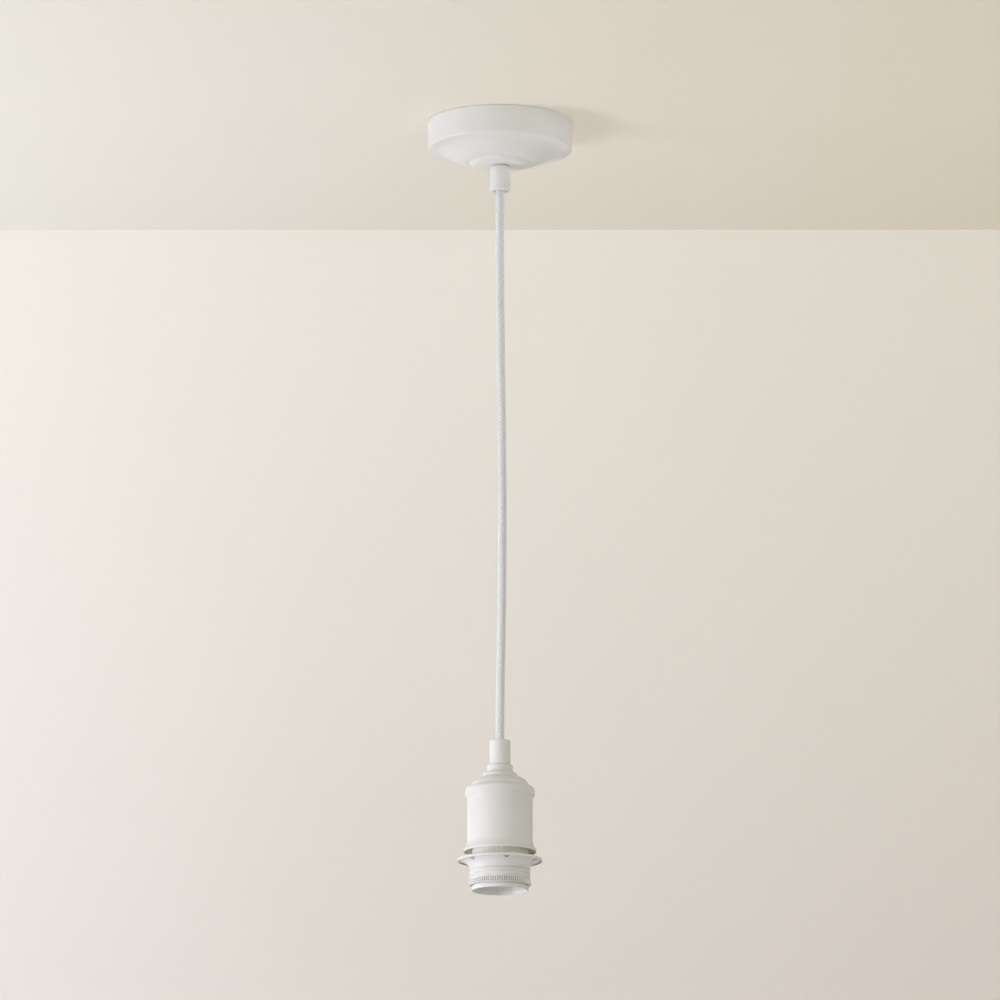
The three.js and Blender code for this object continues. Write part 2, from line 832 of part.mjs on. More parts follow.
function contactCarrier() {
  const disc = rod(neckRadius - 0.2, carrierBottomLevel, carrierTopLevel, holderSides);
  return piece('contact_carrier', disc, ceramic);
}

// Brass terminals on the carrier, each with a wire hole from the top and a screw from the side
function holderTerminals() {
  const low = carrierTopLevel + fitGap;
  const high = low + holderTerminalHeight;
  const half = holderTerminalSide / 2;
  const screwLevel = high - 3;
  const group = new THREE.Group();
  ['live', 'neutral'].forEach((name, index) => {
    const side = index === 0 ? -1 : 1;
    const x = side * holderTerminalOffset;
    const block = box(x - half, x + half, -half, half, low, high);
    const wireHole = rod(coreRadius + fitGap, low + 2, high + 1, 14);
    wireHole.translate(x, 0, 0);
    const screwHole = crossRod(holderScrewRadius + fitGap, x, 0, half + 1, screwLevel, 16);
    group.add(piece(`holder_terminal_${name}`, cut(block, [wireHole, screwHole]), brass));
    const tip = coreRadius + fitGap;
    const screw = crossRod(holderScrewRadius, x, tip, tip + holderScrewLength, screwLevel, 14);
    group.add(piece(`holder_terminal_screw_${name}`, screw, zincSteel));
  });
  return group;
}

// From the cord's end down through the nipple and into a terminal's wire hole
function terminalCoreRoute(number, side) {
  const [x, y] = coreStart(number);
  const blockTop = carrierTopLevel + fitGap + holderTerminalHeight;
  const blockX = side * holderTerminalOffset;
  return [
    [x, y, cordRoute[cordRoute.length - 1][2] - fitGap],
    [x, y, holderNippleBottom - 3],
    [0.35 * blockX, y - 1, holderNippleBottom - 9],
    [0.85 * blockX, -2.5, (holderNippleBottom + blockTop) / 2 - 3],
    [blockX, -0.8, blockTop + 5],
    [blockX, 0, blockTop + 2],
    [blockX, 0, blockTop - coreEntryDepth],
  ];
}

// From the cord's end down through the nipple, then out below the earth tag's tongue
function tagCoreRoute() {
  const [x, y] = coreStart(0);
  return [
    [x, y, cordRoute[cordRoute.length - 1][2] - fitGap],
    [x, y, holderNippleBottom - 3],
    [x, y + 1, holderNippleBottom - 9],
    [x + 1.5, y + 2, holderNippleBottom - 14],
  ];
}

function holderCores() {
  return [
    core('holder_core_live', terminalCoreRoute(1, -1), brownCore),
    core('holder_core_neutral', terminalCoreRoute(2, 1), blueCore),
    core('holder_core_earth', tagCoreRoute(), earthCore),
  ];
}

// The screw shell: a flange under the carrier, then a wall with a rounded wave for each thread turn
function screwShell() {
  const top = neckTopLevel;
  const flangeLow = top - shellSheet;
  const stepsPerTurn = 2;
  const outer = [
    [neckBoreRadius - fitGap, top],
    [neckBoreRadius - fitGap, flangeLow],
  ];
  const inner = [];
  for (let i = 0; i <= shellTurns * stepsPerTurn; i += 1) {
    const wave = (shellWaveDepth * (1 - Math.cos((2 * Math.PI * i) / stepsPerTurn))) / 2;
    const level = flangeLow - (shellPitch * i) / stepsPerTurn;
    inner.push([shellBoreRadius + wave, level]);
    outer.push([shellBoreRadius + wave + shellSheet, level]);
  }
  inner.unshift([shellBoreRadius, top]);
  return piece('screw_shell', turned([...outer, ...inner.reverse()], gripSides), brass);
}

function centreContact() {
  const top = carrierBottomLevel - fitGap;
  const line = [
    [-contactReach, top - contactThickness],
    [-contactReach / 2, top - contactThickness],
    [-contactReach / 5, top - contactDip * 0.8],
    [0, top - contactDip],
    [contactReach / 3, top - contactDip],
    [contactReach * 0.7, top - contactDip * 0.7],
  ];
  const upper = line.map(([x, z]) => new THREE.Vector2(x, z + contactThickness));
  const lower = line.map(([x, z]) => new THREE.Vector2(x, z));
  const strip = extruded(new THREE.Shape([...upper, ...lower.reverse()]), contactWidth);
  strip.rotateX(Math.PI / 2);
  strip.translate(0, contactWidth / 2, 0);
  return piece('centre_contact', facingOut(strip), brass);
}

function lampholderSkirt() {
  const coneTop = skirtBottomLevel + skirtConeHeight;
  const mouth = [skirtMouthRadius, skirtBottomLevel];
  const outline = [
    [neckRadius, neckTopLevel],
    [neckRadius, skirtShoulderLevel],
    [skirtRadius, skirtShoulderLevel],
    [skirtRadius, skirtBottomLevel + skirtRounding],
    [skirtRadius - 0.3, skirtBottomLevel + 0.3],
    [skirtRadius - 0.6, skirtBottomLevel],
    mouth,
    ...bend(mouth, [skirtMouthRadius - 0.4, coneTop], [neckBoreRadius, coneTop], 3),
    [neckBoreRadius, neckTopLevel],
  ];
  return piece('lampholder_skirt', turned(outline, holderSides), whitePlastic);
}

// The band of fine upright ribs near the shade ring's lower end
function knurledBand(low) {
  const shape = new THREE.Shape();
  const points = 2 * ringKnurlCount;
  for (let i = 0; i < points; i += 1) {
    const radius = ringSleeveRadius + (i % 2 === 0 ? ringKnurlDepth : 0);
    const angle = (2 * Math.PI * i) / points;
    if (i === 0) shape.moveTo(radius, 0);
    else shape.lineTo(radius * Math.cos(angle), radius * Math.sin(angle));
  }
  const hole = new THREE.Path();
  hole.absarc(0, 0, ringBoreRadius + ringWall / 2, 0, Math.PI * 2, true);
  shape.holes.push(hole);
  const band = extruded(shape, ringKnurlHeight);
  band.translate(0, 0, low);
  return band;
}

// The shade ring: a flange for the shade, a fillet, a grooved sleeve, a knurled band and a foot
function shadeRing() {
  const flangeLow = ringTopLevel - ringFlangeThickness;
  const lipLow = flangeLow - ringLipHeight;
  const bottom = flangeLow - ringSleeveHeight;
  const filletStart = [ringSleeveRadius + ringFilletReach, flangeLow];
  const outline = [
    [ringBoreRadius, ringTopLevel],
    [ringFlangeRadius - 0.3, ringTopLevel],
    [ringFlangeRadius, ringTopLevel - 0.3],
    [ringFlangeRadius, lipLow],
    [ringFlangeRadius - ringLipWidth, lipLow],
    [ringFlangeRadius - ringLipWidth, flangeLow],
    filletStart,
  ];
  const filletSteps = 4;
  for (let i = 1; i <= filletSteps; i += 1) {
    const angle = (Math.PI / 2) * (i / filletSteps);
    outline.push([
      filletStart[0] - ringFilletReach * Math.sin(angle),
      flangeLow - ringFilletReach * (1 - Math.cos(angle)),
    ]);
  }
  for (let i = 0; i < ringGrooveCount; i += 1) {
    const middle = ringTopLevel - ringFirstGroove - i * ringGroovePitch;
    outline.push([ringSleeveRadius, middle + ringGrooveWidth / 2]);
    outline.push([ringSleeveRadius - ringGrooveDepth, middle]);
    outline.push([ringSleeveRadius, middle - ringGrooveWidth / 2]);
  }
  outline.push(
    [ringSleeveRadius, bottom + ringFootHeight],
    [ringFootRadius, bottom + ringFootHeight - 0.2],
    [ringFootRadius, bottom],
    [ringBoreRadius, bottom],
  );
  const band = knurledBand(bottom + ringFootHeight);
  const holes = [];
  for (let i = 0; i < ringHoleCount; i += 1) {
    const hole = rod(ringHoleRadius, flangeLow - 4, ringTopLevel + 1, 14);
    hole.translate(0, -ringHoleCircle, 0);
    hole.rotateZ((2 * Math.PI * i) / ringHoleCount + THREE.MathUtils.degToRad(ringHoleTurn));
    holes.push(hole);
  }
  const blank = joined([turned(outline, holderSides), band]);
  return piece('shade_ring', cut(blank, holes), whitePlastic);
}

function lampholder() {
  const group = new THREE.Group();
  group.add(holderGrip());
  group.add(nipple('holder_nipple', holderNippleBottom, holderNippleTop));
  group.add(lampholderCover());
  group.add(earthTag());
  group.add(lampholderCap());
  group.add(contactCarrier());
  group.add(holderTerminals());
  group.add(...holderCores());
  group.add(screwShell());
  group.add(centreContact());
  group.add(lampholderSkirt());
  group.add(shadeRing());
  return group;
}

const pendant = new THREE.Group();
pendant.add(ceilingRose(), pendantCord(), lampholder());

export default pendant;
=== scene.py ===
import math
import random

import bmesh
import bpy
import numpy as np
from mathutils import Matrix, Vector


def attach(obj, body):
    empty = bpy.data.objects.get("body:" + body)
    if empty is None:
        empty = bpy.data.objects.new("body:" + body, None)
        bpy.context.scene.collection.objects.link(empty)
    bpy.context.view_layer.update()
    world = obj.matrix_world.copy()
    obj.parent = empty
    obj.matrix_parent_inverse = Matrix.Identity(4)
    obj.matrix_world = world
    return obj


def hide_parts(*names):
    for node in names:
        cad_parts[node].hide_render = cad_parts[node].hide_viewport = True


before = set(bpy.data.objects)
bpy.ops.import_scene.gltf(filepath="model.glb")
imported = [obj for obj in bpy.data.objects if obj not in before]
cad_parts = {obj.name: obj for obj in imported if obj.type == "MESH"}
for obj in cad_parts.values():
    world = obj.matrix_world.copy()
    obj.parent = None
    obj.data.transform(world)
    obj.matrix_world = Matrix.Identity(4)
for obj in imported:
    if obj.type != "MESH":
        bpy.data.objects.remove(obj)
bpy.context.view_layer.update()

# Every size below is in millimetres, and the levels are heights under the ceiling, unless a line
# says otherwise.
MM = 0.001
TURN = 2 * math.pi
SHARP = math.radians(32)
HANGING = "pendant"
SLIDING = "shade_ring"

# The camera looks up at the lampholder and the rose through a long lens. Metres.
CAMERA_PLACE = (0.0, -4.747, -1.327)
CAMERA_PITCH = math.radians(102.6)
CAMERA_LENS = 256.9
CAMERA_SENSOR = 36

# The cord's centreline from inside the rose's nipple to inside the lampholder's nipple. Metres.
CORD_ROUTE = [
    (0, 0, -0.022),
    (0, 0, -0.034),
    (0, 0, -0.048),
    (-0.0001, 0.0001, -0.064),
    (-0.0002, 0.0003, -0.083),
    (-0.0001, 0.0006, -0.104),
    (0.0001, 0.0009, -0.126),
    (0.0004, 0.0011, -0.148),
    (0.0006, 0.0011, -0.170),
    (0.0009, 0.0009, -0.192),
    (0.0012, 0.0006, -0.214),
    (0.0014, 0.0002, -0.236),
    (0.0016, -0.0002, -0.258),
    (0.0016, -0.0006, -0.280),
    (0.0015, -0.0009, -0.302),
    (0.0014, -0.0010, -0.324),
    (0.0011, -0.0010, -0.346),
    (0.0008, -0.0008, -0.368),
    (0.0004, -0.0005, -0.390),
    (0.0001, -0.0002, -0.411),
    (0, 0, -0.431),
    (0, 0, -0.443),
    (0, 0, -0.455),
]
CORD_LENGTH = 0.433

# The cord's braid: as many strands wind one way as the other, each going over one and under one
BRAID_STRANDS = 5
BRAID_LAY = 11.85
BRAID_RADIUS = 2.6
BRAID_WAVE = 0.2
BRAID_BOW = 0.56
YARNS_IN_STRAND = 2
YARN_SPACING = 0.86
YARN_WIDTH = 0.88
YARN_THICKNESS = 0.44
YARN_STEPS_PER_CROSSING = 2
YARN_TONES = (0.12, 0.0)
# Painted shade: below this share of its wave a yarn is painted darker, where it dips under the other way's
# yarns.
YARN_DIP_START = 0.3
YARN_DIP_SHADE = 1.2
BRAID_TOP = -24.0
BRAID_BOTTOM = -453.0
BED_RADIUS = 2.35
SHEATH_RADIUS = 2.9
BED_SIDES = 16

# Ceiling rose cover
ROSE_RADIUS = 50.0
ROSE_RIM = -0.3
ROSE_WALL_FOOT = (49.3, -18.0)
ROSE_CORNER = (49.3, -19.1)
ROSE_CORNER_END = (47.9, -19.1)
ROSE_GUTTER_END = (45.0, -19.6)
ROSE_DISH_END = (21.6, -28.1)
ROSE_BOSS_FACE = (18.2, -30.3)
ROSE_HOLE = 5.3
ROSE_SHEET = 1.2
ROSE_SIDES = 224

# Nipples, grips and their screws
NIPPLE_RADIUS = 5.0
NIPPLE_BORE = 3.7
NIPPLE_PITCH = 1.0
NIPPLE_THREAD = 0.28
ROSE_NIPPLE = (-39.3, -7.6)
HOLDER_NIPPLE = (-460.8, -441.9)
GRIP_RADIUS = 7.05
GRIP_LENGTH = 16.7
GRIP_SHOULDER = 1.2
GRIP_SOCKET = 7.8
ROSE_GRIP_TOP = -31.8
HOLDER_GRIP_BOTTOM = -449.4
GRIP_SCREW_RADIUS = 1.5
GRIP_SCREW_LEVEL = 10.2

# Lampholder cover: levels of its tiers from the top
COVER_TOP = -449.7
COVER_TIER = -454.4
COVER_DOME = -457.9
COVER_BAND = -464.3
COVER_BODY = -473.3
COVER_FLARE = -500.7
COVER_RIM = -507.7
COVER_END = -509.3
COVER_SHEET = 0.8
COVER_NECK = 8.65
COVER_RADIUS = 22.1
COVER_BAND_RADIUS = 23.5
COVER_RIM_RADIUS = 24.6
HOLDER_SIDES = 192

# Cap, skirt and screw shell
CAP_TOP = -451.8
CAP_BOSS_END = -460.8
CAP_DOME_END = -473.8
CAP_END = -513.9
CAP_RADIUS = 18.8
CAP_WALL = 1.8
CAP_RIBS = 9
CAP_RIB_HEIGHT = 0.35
CAP_RIB_WIDTH = 1.3
CAP_RIB_TURN = math.radians(5)
SKIRT_TOP = -500.0
SKIRT_SHOULDER = -514.2
SKIRT_END = -535.8
SKIRT_RADIUS = 19.2
SKIRT_NECK = 16.7
SKIRT_BORE = 14.8
SKIRT_MOUTH = 18.3
SKIRT_CONE = -526.8
SKIRT_THREAD_PITCH = 2.6
SKIRT_THREAD = 0.2
SKIRT_RELIEF = (-531.9, -532.9)
SKIRT_RELIEF_DEPTH = 1.3
SHELL_TOP = -500.0
SHELL_END = -518.4
SHELL_BORE = 12.6
SHELL_WAVE = 0.9
SHELL_PITCH = 3.6
SHELL_SHEET = 0.4
SHELL_FLANGE = 14.5
CARRIER_TOP = -494.7
CARRIER_END = -499.7
CARRIER_RADIUS = 16.5

# Shade ring
RING_TOP = -514.0
RING_FLANGE_LOW = -515.2
RING_END = -532.1
RING_BORE = 19.5
RING_SLEEVE = 20.4
RING_FLANGE = 28.5
RING_LIP_WIDTH = 0.6
RING_LIP_HEIGHT = 0.5
RING_UNDERCUT = 0.35
RING_FILLET = 6.3
RING_GROOVES = (-521.7, -524.45, -527.2)
RING_GROOVE_WIDTH = 1.3
RING_GROOVE_DEPTH = 0.6
RING_KNURL_TOP = -528.6
RING_KNURL_END = -531.4
RING_KNURLS = 84
RING_KNURL_DEPTH = 0.5
RING_FOOT = 21.0
RING_HOLES = 6
RING_HOLE_RADIUS = 2.0
RING_HOLE_CIRCLE = 25.3
RING_HOLE_TURN = math.radians(11)

# Steel bracket and what is fixed to it
STRAP_WIDTH = 22.0
STRAP_THICKNESS = 1.5
STRAP_HALF_LENGTH = 43.0
STRAP_FOOT_START = 29.0
STRAP_PLATE_END = 23.0
STRAP_PLATE = -13.0
SLOT_CENTRE = 36.0
SLOT_REACH = 2.5
SLOT_RADIUS = 2.5
NUT_ACROSS = 14.0
NUT_HEIGHT = 3.0
UPPER_NUT = -11.6
LOWER_NUT = -17.8
WASHER_RADIUS = 8.6
WASHER_TEETH = 16
WASHER = (-12.7, -11.9)
EARTH_SCREW_X = 16.0
EARTH_SCREW_HOLE = 2.3
EARTH_SCREW_HEAD = 3.5
EARTH_SCREW_LIFT = 0.3
# Sides of the round holes and screws
HOLE_SIDES = 48
SMALL_SIDES = 40

# Terminal block in the rose
BLOCK_PITCH = 9.0
BLOCK_BACK = -20.0
BLOCK_FRONT = -31.0
BLOCK_LOW = -22.73
BLOCK_AXIS = 4.4
BLOCK_HEIGHT = 10.0
BLOCK_SCREW_SPACING = 4.6
CORE_RADIUS = 1.1
CORE_SPREAD = 1.5
# The two cores that carry current: side, name, slot
CURRENT_CORES = ((-1, "live", "brown_core"), (1, "neutral", "blue_core"))


# Node groups: each effect that several finishes share is made once

def feed(tree, socket, value):
    """Gives a socket a number, a colour or another node's output."""
    if isinstance(value, bpy.types.NodeSocket):
        tree.links.new(value, socket)
    elif isinstance(value, tuple):
        socket.default_value = (*value, 1)
    elif value is not None:
        socket.default_value = value


def new_group(name, inputs, outputs):
    """An empty shader node group, with its inputs' outputs and its result's inputs.

    inputs holds a value for each label.
    """
    group = bpy.data.node_groups.new(name, "ShaderNodeTree")
    for label, value in inputs.items():
        kind = "NodeSocketColor" if isinstance(value, tuple) else "NodeSocketFloat"
        socket = group.interface.new_socket(name=label, in_out="INPUT", socket_type=kind)
        feed(group, socket, value)
    for label in outputs:
        kind = "NodeSocketColor" if label == "Color" else "NodeSocketFloat"
        group.interface.new_socket(name=label, in_out="OUTPUT", socket_type=kind)
    given = group.nodes.new("NodeGroupInput").outputs
    result = group.nodes.new("NodeGroupOutput").inputs
    return group, given, result


def add(tree, kind, settings=(), **values):
    """A node with its settings, and a number, a colour or an output for each of its named inputs."""
    node = tree.nodes.new(kind)
    for key, value in dict(settings).items():
        setattr(node, key, value)
    for key, value in values.items():
        feed(tree, node.inputs[key.replace("_", " ")], value)
    return node


def calc(tree, operation, first, second=None, clamp=False):
    """A Math node. Each operand is a number or another node's output."""
    node = add(tree, "ShaderNodeMath", {"operation": operation, "use_clamp": clamp})
    feed(tree, node.inputs[0], first)
    feed(tree, node.inputs[1], second)
    return node.outputs[0]


def blend_colours(tree, share, first, second):
    """One colour mixed into another. Each is a colour or an output."""
    node = add(tree, "ShaderNodeMix", {"data_type": "RGBA"})
    for place, value in ((0, share), (6, first), (7, second)):
        feed(tree, node.inputs[place], value)
    return node.outputs[2]


def band(tree, value, low, high, to_low=0.0, to_high=1.0):
    """A value stretched from one range to another and held inside it."""
    node = tree.nodes.new("ShaderNodeMapRange")
    for socket, given in zip(node.inputs, (value, low, high, to_low, to_high)):
        feed(tree, socket, given)
    return node.outputs[0]


def noise(tree, place, scale, detail=2.0, roughness=0.5):
    node = add(tree, "ShaderNodeTexNoise", Vector=place, Scale=scale, Detail=detail, Roughness=roughness)
    return node.outputs["Fac"]


def object_place(tree):
    """Where a point of the surface is on its own piece."""
    return tree.nodes.new("ShaderNodeTexCoord").outputs["Object"]


def split(tree, vector):
    """The X, Y and Z of a vector."""
    return add(tree, "ShaderNodeSeparateXYZ", Vector=vector).outputs


def stored(tree, name):
    """A number that the mesh keeps at its corners."""
    return add(tree, "ShaderNodeAttribute", {"attribute_name": name}).outputs["Fac"]


def mottle_group():
    """A base colour that drifts towards a second one in soft patches and fine specks."""
    tree, given, result = new_group(
        "mottle",
        {
            "Base": (0.8, 0.8, 0.8),
            "Drift": (0.7, 0.7, 0.7),
            "Patch Scale": 40.0,
            "Speck Scale": 900.0,
            "Amount": 0.4,
        },
        ["Color", "Mask"],
    )
    place = object_place(tree)
    patches = band(tree, noise(tree, place, given["Patch Scale"], 3.0), 0.35, 0.7)
    specks = band(tree, noise(tree, place, given["Speck Scale"], 2.0), 0.56, 0.75)
    both = calc(tree, "MAXIMUM", patches, calc(tree, "MULTIPLY", specks, 0.7))
    share = calc(tree, "MULTIPLY", both, given["Amount"], clamp=True)
    feed(tree, result["Color"], blend_colours(tree, share, given["Base"], given["Drift"]))
    feed(tree, result["Mask"], both)
    return tree


def settled_dust_group():
    """Dust on what faces up, thicker where its patches gather."""
    tree, given, result = new_group(
        "settled_dust",
        {"Color": (0.8, 0.8, 0.8), "Dust": (0.5, 0.47, 0.42), "Amount": 0.4},
        ["Color", "Mask"],
    )
    place = object_place(tree)
    normal = tree.nodes.new("ShaderNodeNewGeometry").outputs["Normal"]
    upward = band(tree, split(tree, normal)["Z"], 0.15, 0.95)
    gathered = band(tree, noise(tree, place, 160.0, 4.0, 0.6), 0.3, 0.7, 0.35, 1.0)
    mask = calc(tree, "MULTIPLY", upward, gathered)
    share = calc(tree, "MULTIPLY", mask, given["Amount"], clamp=True)
    feed(tree, result["Color"], blend_colours(tree, share, given["Color"], given["Dust"]))
    feed(tree, result["Mask"], mask)
    return tree


def peel_group():
    """The height of a sprayed or moulded skin: slow waves with a fine grain on them."""
    tree, given, result = new_group(
        "skin_height", {"Wave Scale": 700.0, "Grain Scale": 4000.0, "Grain Share": 0.3}, ["Height"]
    )
    place = object_place(tree)
    waves = noise(tree, place, given["Wave Scale"], 1.5)
    grain = noise(tree, place, given["Grain Scale"], 2.0)
    fine = calc(tree, "MULTIPLY", grain, given["Grain Share"])
    feed(tree, result["Height"], calc(tree, "ADD", waves, fine))
    return tree


def turning_group():
    """Fine rings round the z axis, as a spinning tool or a lathe leaves them."""
    tree, given, result = new_group("turning_marks", {"Rings per metre": 1500.0}, ["Height"])
    parts = split(tree, object_place(tree))
    across = calc(tree, "MULTIPLY", parts["X"], parts["X"])
    along = calc(tree, "MULTIPLY", parts["Y"], parts["Y"])
    radius = calc(tree, "SQRT", calc(tree, "ADD", across, along))
    flat = add(tree, "ShaderNodeCombineXYZ", X=radius, Y=parts["Z"])
    feed(tree, result["Height"], noise(tree, flat.outputs[0], given["Rings per metre"], 3.0))
    return tree


def place_group(tree, group, **values):
    """A shared effect in a material's tree, with this material's values."""
    return add(tree, "ShaderNodeGroup", {"node_tree": GROUPS[group]}, **values)


GROUPS = {}


def make_groups():
    GROUPS["mottle"] = mottle_group()
    GROUPS["dust"] = settled_dust_group()
    GROUPS["skin"] = peel_group()
    GROUPS["turning"] = turning_group()


# Finishes

def new_material(name, **values):
    """The tree and the Principled shader of a new material, with the values of the shader's own sockets."""
    material = bpy.data.materials.new(name)
    material.use_nodes = True
    tree = material.node_tree
    tree.nodes.clear()
    shader = add(tree, "ShaderNodeBsdfPrincipled", **values)
    add(tree, "ShaderNodeOutputMaterial", Surface=shader.outputs[0])
    MATERIALS[name] = material
    return tree, shader


def bumped(tree, shader, height, depth):
    """Feeds a height, counted in metres by depth, to the shader's normal."""
    bump = add(tree, "ShaderNodeBump", Strength=1.0, Distance=depth, Height=height)
    feed(tree, shader.inputs["Normal"], bump.outputs[0])


def skin_height(tree, wave_scale, grain_scale, grain_share):
    skin = place_group(tree, "skin", Wave_Scale=wave_scale, Grain_Scale=grain_scale, Grain_Share=grain_share)
    return skin.outputs["Height"]


def coated(name, base, drift, dust_amount, roughness, skin, coat=0.0, rings=0.0):
    """A pale paint or moulded plastic: drifting colour, dust on top, and its own skin."""
    tree, shader = new_material(name, Specular_IOR_Level=0.45, Coat_Weight=coat, Coat_Roughness=0.35)
    mottle = place_group(tree, "mottle", Base=base, Drift=drift, Patch_Scale=35.0, Amount=0.5)
    colour = mottle.outputs["Color"]
    dust = place_group(tree, "dust", Color=colour, Dust=(0.50, 0.47, 0.41), Amount=dust_amount)
    feed(tree, shader.inputs["Base Color"], dust.outputs["Color"])
    dusty = band(tree, dust.outputs["Mask"], 0.0, 1.0, 0.0, 0.25)
    worn = band(tree, mottle.outputs["Mask"], 0.0, 1.0, *roughness)
    feed(tree, shader.inputs["Roughness"], calc(tree, "ADD", worn, dusty, clamp=True))
    *scales, depth = skin
    height = skin_height(tree, *scales)
    if rings:
        marks = place_group(tree, "turning", Rings_per_metre=420.0)
        height = calc(tree, "ADD", height, calc(tree, "MULTIPLY", marks.outputs["Height"], rings))
    bumped(tree, shader, height, depth)


def metal(name, base, tarnish, roughness, rings_per_metre):
    """A turned or rolled metal with tool marks and a little tarnish."""
    tree, shader = new_material(name, Metallic=1.0)
    mottle = place_group(tree, "mottle", Base=base, Drift=tarnish, Patch_Scale=120.0, Amount=0.75)
    feed(tree, shader.inputs["Base Color"], mottle.outputs["Color"])
    feed(tree, shader.inputs["Roughness"], band(tree, mottle.outputs["Mask"], 0.0, 1.0, *roughness))
    marks = place_group(tree, "turning", Rings_per_metre=rings_per_metre)
    skin = skin_height(tree, 900.0, 6000.0, 0.5)
    height = calc(tree, "ADD", marks.outputs["Height"], calc(tree, "MULTIPLY", skin, 0.4))
    bumped(tree, shader, height, METAL_MARK_DEPTH)


def insulation(name, base, drift, stripe=None):
    """The skin of an insulated core, with a second colour wound along it where it has one."""
    tree, shader = new_material(name, Roughness=0.42)
    colour = place_group(tree, "mottle", Base=base, Drift=drift, Patch_Scale=90.0).outputs["Color"]
    if stripe:
        turned_on = calc(tree, "MULTIPLY", stored(tree, "along"), 0.06)
        wound = calc(tree, "FRACT", calc(tree, "ADD", stored(tree, "round"), turned_on))
        share = band(tree, calc(tree, "PINGPONG", wound, 0.5), 0.2, 0.23)
        colour = blend_colours(tree, share, colour, stripe)
    feed(tree, shader.inputs["Base Color"], colour)
    bumped(tree, shader, skin_height(tree, 500.0, 5000.0, 0.4), 0.00003)


def braid_yarn():
    """The cord's yarn: pale filaments, greyer in places, and painted shade where the yarn dips under
    another.
    """
    tree, shader = new_material("braid_yarn", Roughness=0.78, Sheen_Weight=0.6, Sheen_Roughness=0.5)
    tone = stored(tree, "tone")
    spread = add(
        tree,
        "ShaderNodeCombineXYZ",
        X=calc(tree, "MULTIPLY", stored(tree, "along"), 0.55),
        Y=calc(tree, "MULTIPLY", stored(tree, "across"), 4.5),
        Z=calc(tree, "MULTIPLY", tone, 3.0),
    )
    filaments = noise(tree, spread.outputs[0], 1.0, 3.0, 0.6)
    shade = band(tree, filaments, 0.3, 0.72, 0.0, 0.1)
    mix = calc(tree, "ADD", calc(tree, "MULTIPLY", tone, 0.8), shade, clamp=True)
    feed(tree, shader.inputs["Base Color"], blend_colours(tree, mix, YARN_PALE, YARN_DARK))
    bumped(tree, shader, filaments, 0.00009)


def braid_bed():
    """The woven sheath under the braid, greyer than its yarns; seen in the gaps between them, its grey
    partly paints their shade.
    """
    tree, shader = new_material("braid_bed", Roughness=0.9)
    mottle = place_group(
        tree, "mottle", Base=(0.62, 0.61, 0.615), Drift=(0.46, 0.45, 0.455), Patch_Scale=500.0
    )
    feed(tree, shader.inputs["Base Color"], mottle.outputs["Color"])
    bumped(tree, shader, skin_height(tree, 1500.0, 5000.0, 0.6), 0.0001)


# A skin: the scale of its waves and of its grain, the grain's share, and its depth in metres
PAINT_SKIN = (520.0, 3600.0, 0.35, 0.00006)
PLASTIC_SKIN = (240.0, 5200.0, 0.25, 0.00004)
CERAMIC_SKIN = (180.0, 2600.0, 0.5, 0.00008)
METAL_MARK_DEPTH = 0.00002
YARN_PALE = (0.98, 0.97, 0.975)
# The dark colour gives both the greyer yarns and the painted shade where yarns dip.
YARN_DARK = (0.32, 0.31, 0.32)

# Name, colour, the colour it drifts to, dust, roughness, skin, and for some a clear coat and turning rings
COATED = [
    ("white_paint", (0.815, 0.805, 0.785), (0.74, 0.725, 0.69), 0.45, (0.40, 0.52), PAINT_SKIN, 0.12, 0.5),
    ("white_plastic", (0.825, 0.82, 0.80), (0.76, 0.75, 0.72), 0.4, (0.36, 0.46), PLASTIC_SKIN),
    # The cap's plastic is a lighter copy of the white plastic: painted light on the cap in the cover's shade
    ("cap_plastic", (0.92, 0.905, 0.87), (0.87, 0.85, 0.80), 0.3, (0.36, 0.46), PLASTIC_SKIN),
    # A dark plastic that paints shade into the shade ring's recesses
    ("grimed_plastic", (0.34, 0.33, 0.31), (0.24, 0.23, 0.21), 0.1, (0.6, 0.75), PLASTIC_SKIN),
    ("block_plastic", (0.70, 0.69, 0.64), (0.60, 0.585, 0.53), 0.3, (0.38, 0.5), PLASTIC_SKIN),
    ("ceramic", (0.80, 0.775, 0.71), (0.70, 0.67, 0.60), 0.2, (0.18, 0.32), CERAMIC_SKIN, 0.3),
    # The covers' insides: their own sheet finish, whose warm cream tint and lightness are painted warm light
    # reflected inside
    ("bare_sheet", (0.93, 0.86, 0.68), (0.82, 0.74, 0.56), 0.2, (0.4, 0.55), PAINT_SKIN, 0.7, 0.8),
]

# Name, colour, tarnish, roughness, rings in a metre
METALS = [
    ("zinc_steel", (0.66, 0.67, 0.69), (0.46, 0.45, 0.42), (0.26, 0.46), 2500.0),
    ("brass", (0.80, 0.60, 0.30), (0.52, 0.36, 0.17), (0.22, 0.42), 3000.0),
]

# Name, colour, the colour it drifts to, and the colour of the stripe wound along it
CORES = [
    ("brown_core", (0.13, 0.055, 0.025), (0.09, 0.04, 0.02)),
    ("blue_core", (0.03, 0.12, 0.36), (0.02, 0.08, 0.26)),
    ("earth_core", (0.07, 0.30, 0.06), (0.05, 0.22, 0.04), (0.80, 0.66, 0.05)),
]

MATERIALS = {}


def make_materials():
    for make, finishes in ((coated, COATED), (metal, METALS), (insulation, CORES)):
        for finish in finishes:
            make(*finish)
    braid_yarn()
    braid_bed()


# Shape helpers

def unit(vector):
    return vector / np.linalg.norm(vector)


